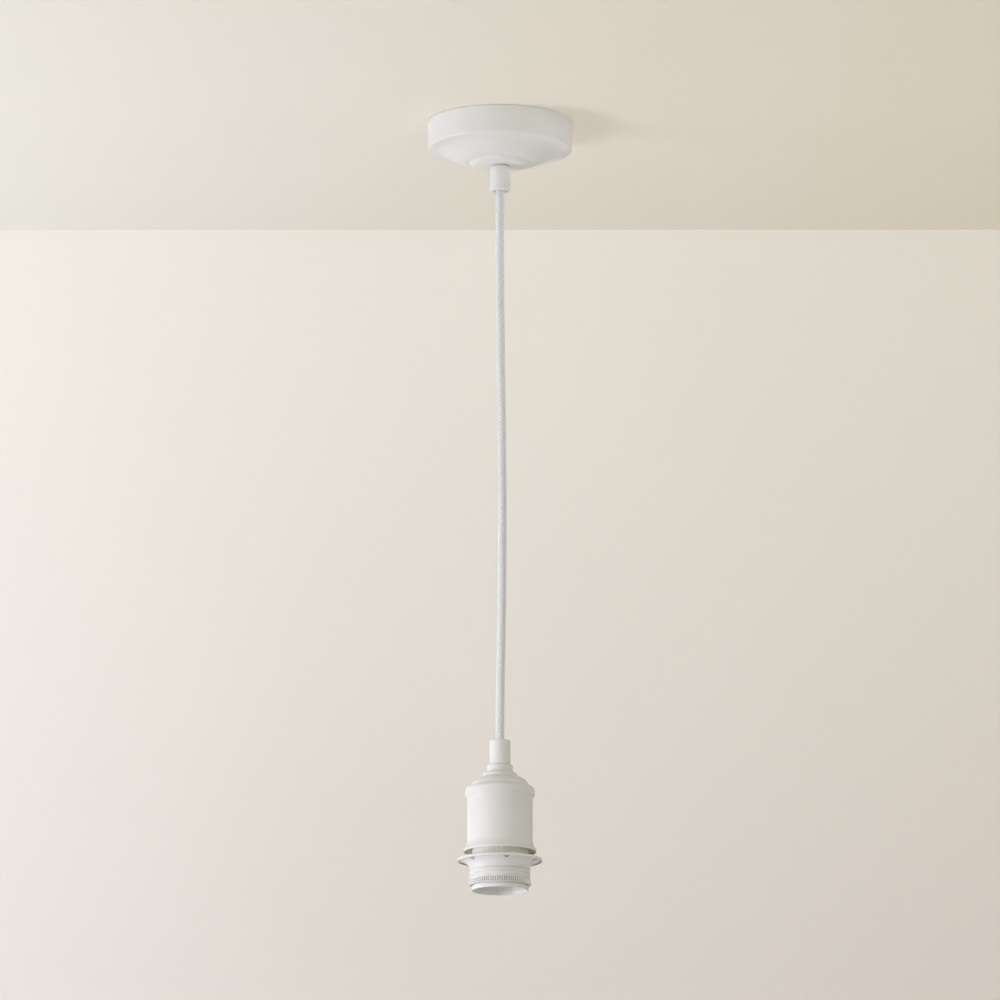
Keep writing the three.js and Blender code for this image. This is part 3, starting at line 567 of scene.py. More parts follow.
def rounded(corners, closed=True, step=math.radians(10)):
    """Outline points from (radius, height, fillet) corners, each fillet drawn as an arc."""
    points = []
    count = len(corners)
    for i, (x, y, fillet) in enumerate(corners):
        here = np.array((x, y), float)
        if fillet == 0 or (not closed and i in (0, count - 1)):
            points.append(here)
            continue
        back = np.array(corners[i - 1][:2], float) - here
        on = np.array(corners[(i + 1) % count][:2], float) - here
        room = 0.49 * min(np.linalg.norm(back), np.linalg.norm(on))
        back, on = unit(back), unit(on)
        half = math.acos(max(-1.0, min(1.0, float(back @ on)))) / 2
        if half > math.radians(88):
            points.append(here)
            continue
        reach = min(fillet / math.tan(half), room)
        radius = reach * math.tan(half)
        centre = here + unit(back + on) * (radius / math.sin(half))
        first = here + back * reach - centre
        last = here + on * reach - centre
        start = math.atan2(first[1], first[0])
        turn = (math.atan2(last[1], last[0]) - start + math.pi) % TURN - math.pi
        steps = max(2, math.ceil(abs(turn) / step))
        for k in range(steps + 1):
            angle = start + turn * k / steps
            points.append(centre + radius * np.array((math.cos(angle), math.sin(angle))))
    return points


def bend(start, corner, end, steps=10):
    """A curved run of outline points after start, pulled towards corner."""
    start, corner, end = (np.array(p, float) for p in (start, corner, end))
    shares = [i / steps for i in range(1, steps + 1)]
    return [(1 - t) ** 2 * start + 2 * (1 - t) * t * corner + t * t * end for t in shares]


def level_run(start, end, spacing):
    """Points from start to end, both of them in it, no further apart than spacing."""
    start, end = np.array(start, float), np.array(end, float)
    steps = max(1, math.ceil(np.linalg.norm(end - start) / spacing))
    return [start + (end - start) * i / steps for i in range(steps + 1)]


def sheet_outline(line, thickness):
    """The outer line and the same line moved sideways by the sheet's thickness, as one closed outline."""
    line = np.array(line, float)
    keep = [0] + [i for i in range(1, len(line)) if np.linalg.norm(line[i] - line[i - 1]) > 1e-4]
    line = line[keep]
    steps = np.diff(line, axis=0)
    sides = np.stack([-steps[:, 1], steps[:, 0]], axis=1) / np.linalg.norm(steps, axis=1)[:, None]
    sums = np.vstack([sides[:1] * 2, sides[:-1] + sides[1:], sides[-1:] * 2])
    inner = line - sums * (2 * thickness / (sums**2).sum(axis=1))[:, None]
    return list(line) + list(inner[::-1])


def joined_rings(here, there, count):
    """The faces between two rings of corners, one that starts at here and one that starts at there."""
    return [(here + j, here + (j + 1) % count, there + (j + 1) % count, there + j) for j in range(count)]


def mesh_piece(name, vertices, faces, material, sharp=SHARP):
    """A mesh object from vertices in millimetres."""
    mesh = bpy.data.meshes.new(name)
    mesh.from_pydata((np.asarray(vertices, float) * MM).tolist(), [], faces)
    piece = bpy.data.objects.new(name, mesh)
    bpy.context.scene.collection.objects.link(piece)
    mesh.materials.append(MATERIALS[material])
    tidy_mesh(mesh, sharp)
    return piece


def tidy_mesh(mesh, sharp=SHARP):
    """Joins doubled corners, turns the faces outward and smooths all but the sharp edges."""
    work = bmesh.new()
    work.from_mesh(mesh)
    bmesh.ops.remove_doubles(work, verts=work.verts, dist=1e-7)
    bmesh.ops.dissolve_degenerate(work, edges=work.edges, dist=1e-8)
    bmesh.ops.recalc_face_normals(work, faces=work.faces)
    work.to_mesh(mesh)
    work.free()
    mesh.shade_smooth()
    mesh.set_sharp_from_angle(angle=sharp)


def turned(name, outline, sides, material, shape=None, sharp=SHARP):
    """A closed outline of (radius, height) swept round the z axis.

    shape takes the grids of radius, height and angle, and gives back radius and height.
    """
    outline = np.array(outline, float)
    angles = np.arange(sides) * TURN / sides
    radius = np.repeat(outline[:, :1], sides, axis=1)
    height = np.repeat(outline[:, 1:], sides, axis=1)
    around = np.repeat(angles[None, :], len(outline), axis=0)
    if shape:
        radius, height = shape(radius, height, around)
    vertices = np.stack([radius * np.cos(around), radius * np.sin(around), height], axis=-1).reshape(-1, 3)
    faces = []
    rows = len(outline)
    for i in range(rows):
        faces += joined_rings(i * sides, (i + 1) % rows * sides, sides)
    return mesh_piece(name, vertices, faces, material, sharp)


def solid_rod(name, corners, sides, material):
    """A turned solid without a bore. corners run (radius, height, fillet) from the lower end up."""
    line = rounded(corners, closed=False)
    return turned(name, [(0.0, line[0][1]), *line, (0.0, line[-1][1])], sides, material)


def pin(radius, low, high, sides, material, place):
    """A plain rod that cuts a bore or makes a barrel, placed by a matrix."""
    return placed(solid_rod("pin", [(radius, low, 0), (radius, high, 0)], sides, material), place)


def prism(name, ends, material):
    """A solid between two flat ends, each given as its ring of corners."""
    count = len(ends[0])
    faces = joined_rings(0, count, count)
    faces += [tuple(range(count))[::-1], tuple(range(count, 2 * count))]
    return mesh_piece(name, [*ends[0], *ends[1]], faces, material)


def settle(piece):
    """Applies the piece's modifiers to its mesh."""
    held = piece.evaluated_get(bpy.context.evaluated_depsgraph_get())
    mesh = bpy.data.meshes.new_from_object(held)
    piece.modifiers.clear()
    piece.data = mesh
    tidy_mesh(mesh)
    return piece


def carve(piece, cutters, operation="DIFFERENCE"):
    """Cuts each cutter out of the piece, or joins it on, and removes the cutters."""
    for cutter in cutters:
        step = piece.modifiers.new("carve", "BOOLEAN")
        step.operation = operation
        step.solver = "EXACT"
        step.object = cutter
    settle(piece)
    for cutter in cutters:
        bpy.data.objects.remove(cutter, do_unlink=True)
    return piece


def eased(piece, width, segments=2):
    """Rounds the piece's sharp edges by a width in millimetres."""
    step = piece.modifiers.new("ease", "BEVEL")
    step.width = width * MM
    step.segments = segments
    step.limit_method = "ANGLE"
    step.angle_limit = math.radians(40)
    step.use_clamp_overlap = True
    return settle(piece)


def block(name, low, high, material):
    """A plain box as a starting blank."""
    corners = [(x, y, z) for x in (low[0], high[0]) for y in (low[1], high[1]) for z in (low[2], high[2])]
    faces = [(0, 1, 3, 2), (4, 6, 7, 5), (0, 4, 5, 1), (2, 3, 7, 6), (0, 2, 6, 4), (1, 5, 7, 3)]
    return mesh_piece(name, corners, faces, material)


def placed(piece, matrix):
    """The piece's mesh moved by a matrix whose shift is in millimetres."""
    in_metres = matrix.copy()
    in_metres.translation = matrix.translation * MM
    piece.data.transform(in_metres)
    return piece


def shifted(x, y, z):
    return Matrix.Translation((x, y, z))


def along_y(x, y, z):
    """Lays a z-axis piece along +Y from the given point."""
    return shifted(x, y, z) @ Matrix.Rotation(-math.pi / 2, 4, "X")


def dressed(piece, slot_name, *nodes, body=HANGING):
    """Puts the piece on its body and hides the nodes that it stands for. slot_name is not used."""
    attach(piece, body)
    if nodes:
        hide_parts(*nodes)
    return piece


def second_finish(piece, material, picked):
    """Gives another material to the faces that picked chooses.

    picked takes a face's centre, its normal, its distance from the axis and how far it faces away from it.
    """
    mesh = piece.data
    mesh.materials.append(MATERIALS[material])
    for face in mesh.polygons:
        centre, normal = face.center / MM, face.normal
        radius = math.hypot(centre.x, centre.y)
        outward = (normal.x * centre.x + normal.y * centre.y) / max(radius, 1e-6)
        if picked(centre, normal, radius, outward):
            face.material_index = 1
    return piece


def catmull(points, steps):
    """A centripetal curve through the points, sampled at equal lengths."""
    points = np.array(points, float)
    chords = np.linalg.norm(np.diff(points, axis=0), axis=1)
    knots = np.concatenate([[0], np.cumsum(np.sqrt(chords))])
    slopes = np.gradient(points, knots, axis=0)
    t = np.linspace(0, 1, 24, endpoint=False)[:, None]
    found = []
    for i, width in enumerate(np.diff(knots)):
        ends = (2 * t**3 - 3 * t**2 + 1) * points[i] + (3 * t**2 - 2 * t**3) * points[i + 1]
        pulls = (t**3 - 2 * t**2 + t) * slopes[i] + (t**3 - t**2) * slopes[i + 1]
        found.append(ends + width * pulls)
    found = np.vstack([*found, points[-1:]])
    lengths = np.concatenate([[0], np.cumsum(np.linalg.norm(np.diff(found, axis=0), axis=1))])
    wanted = np.linspace(0, lengths[-1], steps + 1)
    return np.stack([np.interp(wanted, lengths, found[:, axis]) for axis in range(3)], axis=1)


def frames_along(points):
    """Tangents and two side directions at each point, without twist."""
    tangents = np.gradient(points, axis=0)
    tangents /= np.linalg.norm(tangents, axis=1)[:, None]
    side = np.array((1.0, 0.0, 0.0))
    if abs(tangents[0] @ side) > 0.9:
        side = np.array((0.0, 1.0, 0.0))
    sides = []
    for tangent in tangents:
        side = unit(side - tangent * (side @ tangent))
        sides.append(side)
    sides = np.array(sides)
    return tangents, sides, np.cross(tangents, sides)


def tube_faces(rows, around, base=0):
    """The faces of a closed tube whose rings of corners follow each other from base on."""
    faces = []
    for i in range(rows - 1):
        faces += joined_rings(base + i * around, base + (i + 1) * around, around)
    end = base + (rows - 1) * around
    return faces + [tuple(range(base + around - 1, base - 1, -1)), tuple(range(end, end + around))]


def tube_rings(points, radii, sides):
    """Rings of corners round the points, without twist."""
    _, first, second = frames_along(points)
    angles = (np.arange(sides) * TURN / sides)[None, :, None]
    ring = np.cos(angles) * first[:, None, :] + np.sin(angles) * second[:, None, :]
    return points[:, None, :] + ring * np.asarray(radii)[:, None, None]


def tube_mesh(name, points, radii, sides, material):
    """A closed tube along points, with the attributes round and along."""
    vertices = tube_rings(points, radii, sides).reshape(-1, 3)
    count = len(points)
    piece = mesh_piece(name, vertices, tube_faces(count, sides), material)
    lengths = np.concatenate([[0], np.cumsum(np.linalg.norm(np.diff(points, axis=0), axis=1))])
    store(piece, "round", np.tile(np.arange(sides) / sides, count))
    store(piece, "along", np.repeat(lengths, sides))
    return piece


def store(piece, name, values):
    """Keeps one number for each corner of the mesh, for its material."""
    if len(values) != len(piece.data.vertices):
        raise ValueError(f"{piece.name} has {len(piece.data.vertices)} corners and {len(values)} values")
    attribute = piece.data.attributes.new(name, "FLOAT", "POINT")
    attribute.data.foreach_set("value", np.asarray(values, np.float32))


# Camera

def make_camera():
    data = bpy.data.cameras.new("camera")
    data.lens = CAMERA_LENS
    data.sensor_width = CAMERA_SENSOR
    data.clip_end = 50
    camera = bpy.data.objects.new("camera", data)
    camera.location = CAMERA_PLACE
    camera.rotation_euler = (CAMERA_PITCH, 0, 0)
    bpy.context.scene.collection.objects.link(camera)
    bpy.context.scene.camera = camera


# Cord

def yarn_section():
    """A flattened closed section: (across, out) points."""
    half, lift_up = YARN_WIDTH / 2, YARN_THICKNESS / 2
    return np.array(
        [
            (-half, -0.2 * lift_up),
            (-0.5 * half, 0.8 * lift_up),
            (0.5 * half, 0.8 * lift_up),
            (half, -0.2 * lift_up),
            (0.0, -lift_up),
        ]
    )


def yarn_rings(path, down, strand, shift, way, over):
    """Rings of corners along one yarn of a strand that winds round the path, way 1 or -1."""
    centre, tangent, side_one, side_two = path
    angle = (TURN * strand / BRAID_STRANDS + way * TURN * down / BRAID_LAY)[:, None]
    outward = np.cos(angle) * side_one + np.sin(angle) * side_two
    sideways = np.cos(angle) * side_two - np.sin(angle) * side_one
    heading = tangent + way * TURN * BRAID_RADIUS / BRAID_LAY * sideways
    width = np.cross(outward, heading / np.linalg.norm(heading, axis=1)[:, None])
    offset, rise = yarn_section().T
    offset = offset + shift
    bow = (BRAID_BOW * offset) ** 2 / (2 * BRAID_RADIUS)
    out = (BRAID_RADIUS + BRAID_WAVE * over)[:, None] + rise - bow
    middle = centre[:, None, :] + outward[:, None, :] * out[:, :, None]
    return middle + width[:, None, :] * offset[None, :, None]


def braided_cord():
    """The cord: a woven bed on the cores, and real yarns wound both ways over and under each other."""
    spacing = BRAID_LAY / (2 * BRAID_STRANDS * YARN_STEPS_PER_CROSSING)
    points = catmull(np.array(CORD_ROUTE) / MM, math.ceil(CORD_LENGTH / MM / spacing))
    tangents, first, second = frames_along(points)
    woven = (points[:, 2] < BRAID_TOP) & (points[:, 2] > BRAID_BOTTOM)
    path = [values[woven] for values in (points, tangents, first, second)]
    steps = np.linalg.norm(np.diff(path[0], axis=0), axis=1)
    down = np.concatenate([[0], np.cumsum(steps)])
    offsets = yarn_section()[:, 0]
    tones = random.Random(7)
    vertices, faces, along, across, tone = [], [], [], [], []
    for way, usual_tone in ((1, YARN_TONES[0]), (-1, YARN_TONES[1])):
        over = way * np.cos(TURN * BRAID_STRANDS * down / BRAID_LAY)
        # Painted shade: darker where the yarn dips under the other way's yarns.
        dip_shade = np.clip(YARN_DIP_SHADE * (YARN_DIP_START - over), 0, 1)
        for number in range(BRAID_STRANDS * YARNS_IN_STRAND):
            strand, yarn = divmod(number, YARNS_IN_STRAND)
            shift = YARN_SPACING * (yarn - (YARNS_IN_STRAND - 1) / 2)
            rings = yarn_rings(path, down, strand, shift, way, over)
            faces += tube_faces(len(rings), len(offsets), sum(len(part) for part in vertices))
            vertices.append(rings.reshape(-1, 3))
            along.append(np.repeat(down, len(offsets)))
            across.append(np.tile(offsets, len(down)))
            tone.append(np.repeat(dip_shade + usual_tone + tones.uniform(-0.08, 0.08), len(offsets)))
    covered = (points[:, 2] < BRAID_TOP + 1.5) & (points[:, 2] > BRAID_BOTTOM - 1.5)
    radii = np.where(covered, BED_RADIUS, SHEATH_RADIUS)
    radii[[0, -1]] -= 0.5
    bed = tube_rings(points, radii, BED_SIDES).reshape(-1, 3)
    bed_start = len(faces)
    faces += tube_faces(len(points), BED_SIDES, sum(len(part) for part in vertices))
    vertices.append(bed)
    for values in (along, across, tone):
        values.append(np.zeros(len(bed)))
    cord = mesh_piece("braided_cord", np.concatenate(vertices), faces, "braid_yarn", math.radians(80))
    cord.data.materials.append(MATERIALS["braid_bed"])
    index = np.zeros(len(cord.data.polygons), np.int32)
    index[bed_start:] = 1
    cord.data.polygons.foreach_set("material_index", index)
    for name, values in (("along", along), ("across", across), ("tone", tone)):
        store(cord, name, np.concatenate(values))
    dressed(cord, "braid", "pendant_cord")


# Ceiling rose

def rose_cover():
    line = level_run((ROSE_RADIUS - 0.25, ROSE_RIM + 0.03), (ROSE_RADIUS - 0.02, ROSE_RIM - 0.15), 0.1)
    line += level_run((ROSE_RADIUS, ROSE_RIM - 0.4), ROSE_WALL_FOOT, 2.5)
    line += bend(ROSE_WALL_FOOT, ROSE_CORNER, ROSE_CORNER_END, 10)
    line += [np.array(ROSE_GUTTER_END)]
    dish_steps = 36
    gutter, dish = np.array(ROSE_GUTTER_END), np.array(ROSE_DISH_END)
    for i in range(1, dish_steps):
        t = i / dish_steps
        line.append(gutter + (dish - gutter) * np.array((t, t * t * (3 - 2 * t))))
    tail = rounded(
        [(*line[-1], 0), (*ROSE_DISH_END, 2.4), (*ROSE_BOSS_FACE, 1.3), (ROSE_HOLE, ROSE_BOSS_FACE[1], 0)],
        closed=False,
    )
    line += tail[1:]
    cover = turned("rose_cover", sheet_outline(line, ROSE_SHEET), ROSE_SIDES, "white_paint")

    def is_inner(centre, normal, radius, outward):
        inside = radius < ROSE_RADIUS - ROSE_SHEET / 2 - 0.8 and centre.z < ROSE_RIM - 0.2
        return inside and (normal.z > 0.2 or outward < -0.5)

    # The inner faces take the warm cream sheet finish: painted warm light inside the cover.
    second_finish(cover, "bare_sheet", is_inner)
    dressed(cover, "white_paint", "ceiling_rose_cover")


def thread_shape(pitch, depth, from_level, to_level, picked):
    """Moves the picked points in a helical wave between two levels, fading out at both ends."""
    low, high = min(from_level, to_level), max(from_level, to_level)

    def shape(radius, height, around):
        fade = np.clip((height - low) / pitch, 0, 1) * np.clip((high - height) / pitch, 0, 1)
        wave = 0.5 + 0.5 * np.cos(TURN * (height / pitch - around / TURN))
        return radius - depth * fade * wave * picked(radius), height

    return shape


def threaded_nipple(name, levels, node):
    low, high = levels
    chamfer = 0.5
    line = level_run((NIPPLE_RADIUS, low + chamfer), (NIPPLE_RADIUS, high - chamfer), NIPPLE_PITCH / 6)
    outline = [
        (NIPPLE_BORE, low),
        (NIPPLE_RADIUS - chamfer, low),
        *line,
        (NIPPLE_RADIUS - chamfer, high),
        (NIPPLE_BORE, high),
    ]
    shape = thread_shape(
        NIPPLE_PITCH,
        NIPPLE_THREAD,
        low + chamfer,
        high - chamfer,
        lambda radius: radius > NIPPLE_RADIUS - 0.1,
    )
    dressed(turned(name, outline, 60, "brass", shape, math.radians(50)), "brass", node)


def cord_grip(name, screw_name, place, grip_node, screw_node):
    """A moulded grip with its shoulder up, then placed. The clamping screw sits in the side hole."""
    bottom = -GRIP_LENGTH
    outline = rounded(
        [
            (NIPPLE_RADIUS + 0.3, GRIP_SHOULDER, 0.15),
            (6.0, GRIP_SHOULDER, 0.2),
            (6.0, 0.0, 0.1),
            (GRIP_RADIUS, 0.0, 0.5),
            (GRIP_RADIUS, bottom, 0.6),
            (5.1, bottom, 0.3),
            (3.6, bottom + 2.2, 1.0),
            (3.5, bottom + 3.2, 0.3),
            (3.5, -GRIP_SOCKET, 0.0),
            (NIPPLE_RADIUS + 0.3, -GRIP_SOCKET, 0.0),
        ]
    )
    grip = turned(name, outline, 96, "white_plastic")
    level = -GRIP_SCREW_LEVEL
    bore = solid_rod(
        "bore",
        [
            (GRIP_SCREW_RADIUS + 0.15, 2.0, 0),
            (GRIP_SCREW_RADIUS + 0.15, GRIP_RADIUS - 0.35, 0),
            (GRIP_SCREW_RADIUS + 0.65, GRIP_RADIUS + 0.15, 0),
            (GRIP_SCREW_RADIUS + 0.65, GRIP_RADIUS + 1.0, 0),
        ],
        40,
        "white_plastic",
    )
    placed(bore, along_y(0, 0, level))
    carve(grip, [bore])
    screw = solid_rod(
        screw_name,
        [
            (GRIP_SCREW_RADIUS - 0.4, 3.3, 0),
            (GRIP_SCREW_RADIUS - 0.05, 3.8, 0.1),
            (GRIP_SCREW_RADIUS - 0.05, GRIP_RADIUS - 0.15, 0.2),
        ],
        40,
        "white_plastic",
    )
    placed(screw, along_y(0, 0, level))
    slot_low = (-GRIP_SCREW_RADIUS - 1, GRIP_RADIUS - 0.9, level - 0.3)
    slot_high = (GRIP_SCREW_RADIUS + 1, GRIP_RADIUS + 1, level + 0.3)
    carve(screw, [block("slot", slot_low, slot_high, "white_plastic")])
    for piece, node in ((grip, grip_node), (screw, screw_node)):
        placed(piece, place)
        tidy_mesh(piece.data)
        dressed(piece, "white_plastic", node)


def steel_bracket():
    """The pressed strap with its slots and holes, its feet against the ceiling."""
    slope = 0.6 * STRAP_THICKNESS
    low = STRAP_PLATE - STRAP_THICKNESS
    top = [(STRAP_HALF_LENGTH, 0.0, 0.0), (STRAP_FOOT_START, 0.0, 1.0), (STRAP_PLATE_END, STRAP_PLATE, 1.4)]
    under = [
        (STRAP_PLATE_END + slope, low, 1.6),
        (STRAP_FOOT_START + slope, -STRAP_THICKNESS, 1.2),
        (STRAP_HALF_LENGTH, -STRAP_THICKNESS, 0.0),
    ]

    def mirrored(corners):
        return [(-x, z, fillet) for x, z, fillet in reversed(corners)]

    profile = rounded([*top, *mirrored(top), *mirrored(under), *under])
    half = STRAP_WIDTH / 2
    strap = prism("steel_bracket", [[(x, y, z) for x, z in profile] for y in (-half, half)], "zinc_steel")
    cutters = []
    for x, radius in ((0.0, NIPPLE_RADIUS + 0.3), (EARTH_SCREW_X, EARTH_SCREW_HOLE)):
        cutters.append(pin(radius, low - 1, STRAP_PLATE + 1, HOLE_SIDES, "zinc_steel", shifted(x, 0, 0)))
    for centre in (-SLOT_CENTRE, SLOT_CENTRE):
        for x in (centre - SLOT_REACH, centre + SLOT_REACH):
            cutters.append(pin(SLOT_RADIUS, -3, 1, HOLE_SIDES, "zinc_steel", shifted(x, 0, 0)))
        slot_low = (centre - SLOT_REACH, -SLOT_RADIUS, -3)
        cutters.append(block("slot", slot_low, (centre + SLOT_REACH, SLOT_RADIUS, 1), "zinc_steel"))
    carve(strap, cutters)
    eased(strap, 0.18)
    dressed(strap, "zinc_steel", "ceiling_bracket")


def hex_nut(name, low, node):
    """A chamfered hexagon nut on the nipple."""
    corner = NUT_ACROSS / 2 / math.cos(math.pi / 6)
    ring = [(corner * math.cos(math.pi * i / 3), corner * math.sin(math.pi * i / 3)) for i in range(6)]
    top = low + NUT_HEIGHT
    nut = prism(name, [[(x, y, z) for x, y in ring] for z in (low, top)], "zinc_steel")
    bore, edge, wide = NIPPLE_RADIUS + 0.25, NUT_ACROSS / 2 - 0.1, corner + 0.2
    lower = [(bore, low + 0.5), (bore + 0.5, low), (edge, low), (wide, low + 0.75)]
    upper = [(wide, top - 0.75), (edge, top), (bore + 0.5, top), (bore, top - 0.5)]
    carve(nut, [turned("mask", [*lower, *upper], 72, "zinc_steel")], "INTERSECT")
    dressed(nut, "zinc_steel", node)


def toothed_washer():
    low, high = WASHER
    inner = NIPPLE_RADIUS + 0.35
    root = WASHER_RADIUS - 1.4

    def shape(radius, height, around):
        tooth = 0.5 + 0.5 * np.cos(WASHER_TEETH * around)
        steep = np.clip((tooth - 0.35) * 6, 0, 1)
        outer = radius > root
        pulled = np.where(outer, radius - (1 - steep) * (radius - root), radius)
        tilt = np.where(outer, 0.12 * np.sin(WASHER_TEETH * around) * steep, 0)
        return pulled, height + tilt

    outline = [
        (inner, low + 0.15),
        (inner, high - 0.15),
        (root - 0.3, high - 0.15),
        (root + 0.4, high - 0.15),
        (WASHER_RADIUS - 0.1, high - 0.15),
        (WASHER_RADIUS, high - 0.22),
        (WASHER_RADIUS, low + 0.22),
        (WASHER_RADIUS - 0.1, low + 0.15),
        (root + 0.4, low + 0.15),
        (root - 0.3, low + 0.15),
    ]
    washer = turned("toothed_washer", outline, WASHER_TEETH * 12, "zinc_steel", shape)
    dressed(washer, "zinc_steel", "bracket_lock_washer")


def slotted_screw(name, corners, slot, material, matrix, node):
    """A turned screw with a slot across its head, standing on z before it is placed."""
    screw = solid_rod(name, corners, HOLE_SIDES, material)
    half_width, low = slot
    reach, top = 8, corners[-1][1] + 1
    carve(screw, [block("slot", (-reach, -half_width, low), (reach, half_width, top), material)])
    dressed(placed(screw, matrix), material, node)


def earth_screw():
    low = STRAP_PLATE + EARTH_SCREW_LIFT
    shank, head = 2.0, EARTH_SCREW_HEAD
    corners = [(1.6, low - 6, 0), (shank, low - 5.5, 0.1), (shank, low, 0)]
    corners += [(head, low, 0.15), (head, low + 1.9, 0.9), (0.6, low + 2.4, 0)]
    place = shifted(EARTH_SCREW_X, 0, 0) @ Matrix.Rotation(0.5, 4, "Z")
    slotted_screw("earth_screw", corners, (0.5, low + 1.1), "brass", place, "bracket_earth_screw")


def terminal_block():
    """The moulded two-way block: two barrels with screw towers, joined by a web, and the brass in it."""
    middle = (BLOCK_BACK + BLOCK_FRONT) / 2
    axis, top = BLOCK_LOW + BLOCK_AXIS, BLOCK_LOW + BLOCK_HEIGHT
    half_length = (BLOCK_BACK - BLOCK_FRONT) / 2
    ways = (-BLOCK_PITCH / 2, BLOCK_PITCH / 2)
    rows = (middle - BLOCK_SCREW_SPACING / 2, middle + BLOCK_SCREW_SPACING / 2)

    def lying(radius, reach, sides, x, material="block_plastic"):
        return pin(radius, -reach, reach, sides, material, along_y(x, middle, axis))

    def standing(radius, high, sides, x, material="block_plastic"):
        return [pin(radius, axis, high, sides, material, shifted(x, y, 0)) for y in rows]

    web_low = (ways[0], BLOCK_FRONT + 1.2, BLOCK_LOW + 1.0)
    web_high = (ways[1], BLOCK_BACK - 1.2, BLOCK_LOW + 6.2)
    body = block("terminal_block", web_low, web_high, "block_plastic")
    added, cutters = [], []
    for x in ways:
        added += [lying(4.4, half_length, 64, x), *standing(2.15, top, HOLE_SIDES, x)]
    carve(body, added, "UNION")
    for x in ways:
        cutters += [lying(2.8, half_length + 1, HOLE_SIDES, x), *standing(1.5, top + 1, SMALL_SIDES, x)]
    cutters.append(pin(1.3, BLOCK_LOW - 1, top + 1, SMALL_SIDES, "block_plastic", shifted(0, middle, 0)))
    carve(body, cutters)
    dressed(body, "block_plastic", "terminal_block_body")
    number = 1
    low = axis + 1.5
    corners = [(0.8, low, 0), (1.2, low + 0.4, 0.1), (1.2, low + 3.2, 0.2)]
    for way, x in enumerate(ways, 1):
        sleeve = lying(2.5, 4.7, HOLE_SIDES, x, "brass")
        sleeve.name = f"brass_sleeve_{way}"
        bores = [lying(1.5, 6, SMALL_SIDES, x, "brass"), *standing(1.35, axis + 4, SMALL_SIDES, x, "brass")]
        carve(sleeve, bores)
        dressed(sleeve, "brass", f"terminal_sleeve_{way}")
        for y in rows:
            place = shifted(x, y, 0) @ Matrix.Rotation(0.4 + 1.1 * number, 4, "Z")
            name, node = f"clamp_screw_{number}", f"terminal_screw_{number}"
            slotted_screw(name, corners, (0.25, low + 2.4), "zinc_steel", place, node)
            number += 1


def core_starts():
    """Where the earth, live and neutral cores leave the sheath."""
    angles = [math.pi / 2 + TURN * n / 3 for n in range(3)]
    return [(CORE_SPREAD * math.cos(angle), CORE_SPREAD * math.sin(angle)) for angle in angles]


def core_tube(name, node, slot_name, points):
    """One insulated core along its route."""
    route = catmull(points, 60)
    radii = np.full(len(route), CORE_RADIUS)
    radii[0] = radii[-1] = CORE_RADIUS * 0.8
    dressed(tube_mesh(name, route, radii, 20, slot_name), slot_name, node)


def rose_cores():
    earth, *others = core_starts()
    cord_end = CORD_ROUTE[0][2] / MM + 0.3
    nipple_top = ROSE_NIPPLE[1]
    crest = nipple_top + 3.0
    edge = -STRAP_WIDTH / 2
    entry_level = BLOCK_LOW + BLOCK_AXIS
    entry_y = BLOCK_BACK - 2.5
    for (x, y), (side, name, slot_name) in zip(others, CURRENT_CORES):
        block_x = side * BLOCK_PITCH / 2
        route = [
            (x, y, cord_end),
            (x, y, nipple_top - 2),
            (x + 0.2 * block_x, y - 1, crest - 1),
            (0.7 * block_x, edge / 2, crest + 0.6),
            (block_x, edge - 1, crest - 2.5),
            (block_x, edge - 3.8, (crest + entry_level) / 2),
            (block_x, edge - 6, entry_level + 1),
            (block_x, entry_y + 1.5, entry_level),
            (block_x, entry_y, entry_level),
        ]
        core_tube(f"rose_{name}_wire", f"rose_core_{name}", slot_name, route)
    x, y = earth
    beside = EARTH_SCREW_HEAD + CORE_RADIUS + 0.3
    head = STRAP_PLATE + EARTH_SCREW_LIFT + 1.2
    route = [
        (x, y, cord_end),
        (x, y, nipple_top - 2),
        (x + 0.6, y + 0.8, crest - 1),
        (EARTH_SCREW_X / 3, beside + 0.6, crest),
        (2 * EARTH_SCREW_X / 3, beside + 2.4, crest - 2.5),
        (EARTH_SCREW_X - 2.6, beside + 0.6, head + 2),
        (EARTH_SCREW_X, beside, head + 0.6),
        (EARTH_SCREW_X + 2.4, beside, head + 0.4),
    ]
    core_tube("rose_earth_wire", "rose_core_earth", "earth_core", route)


# Lampholder

def holder_cover():
    tier, dome = (9.7, COVER_TIER - 0.3), (11.9, COVER_DOME)
    shoulder, waist = (20.2, COVER_BAND), (COVER_RADIUS, COVER_BODY)
    band_high, band_low = (COVER_BAND_RADIUS, COVER_BAND - 3.2), (COVER_BAND_RADIUS, COVER_BODY + 2.6)
    flare, rim = (COVER_RADIUS, COVER_FLARE), (COVER_RIM_RADIUS, COVER_RIM)
    neck = [(6.3, COVER_TOP, 0), (COVER_NECK, COVER_TOP, 0.7), (COVER_NECK, COVER_TIER, 0.4), (*tier, 0)]
    line = rounded(neck, closed=False)
    line += bend(tier, (dome[0], COVER_TIER - 0.6), dome, 8)
    line += bend(dome, (17.8, COVER_DOME - 1.2), shoulder, 10)
    line += bend(shoulder, (COVER_BAND_RADIUS, COVER_BAND - 0.9), band_high, 8)
    line += [np.array(band_low)]
    line += bend(band_low, (COVER_RADIUS, COVER_BODY + 0.9), waist, 8)
    line += level_run((COVER_RADIUS, COVER_BODY - 0.4), flare, 3)
    line += bend(flare, (COVER_RADIUS, COVER_FLARE - 3.85), rim, 12)
    line += [np.array((COVER_RIM_RADIUS, COVER_END + 0.15)), np.array((COVER_RIM_RADIUS - 0.1, COVER_END))]
    cover = turned("holder_cover", sheet_outline(line, COVER_SHEET), HOLDER_SIDES, "white_paint")

    def is_inner(centre, normal, radius, outward):
        return centre.z < COVER_TOP - 1 and (outward < 0 or (normal.z < -0.7 and centre.z > COVER_FLARE))

    # The inner faces take the warm cream sheet finish: painted warm light inside the cover.
    second_finish(cover, "bare_sheet", is_inner)
    dressed(cover, "white_paint", "lampholder_cover")


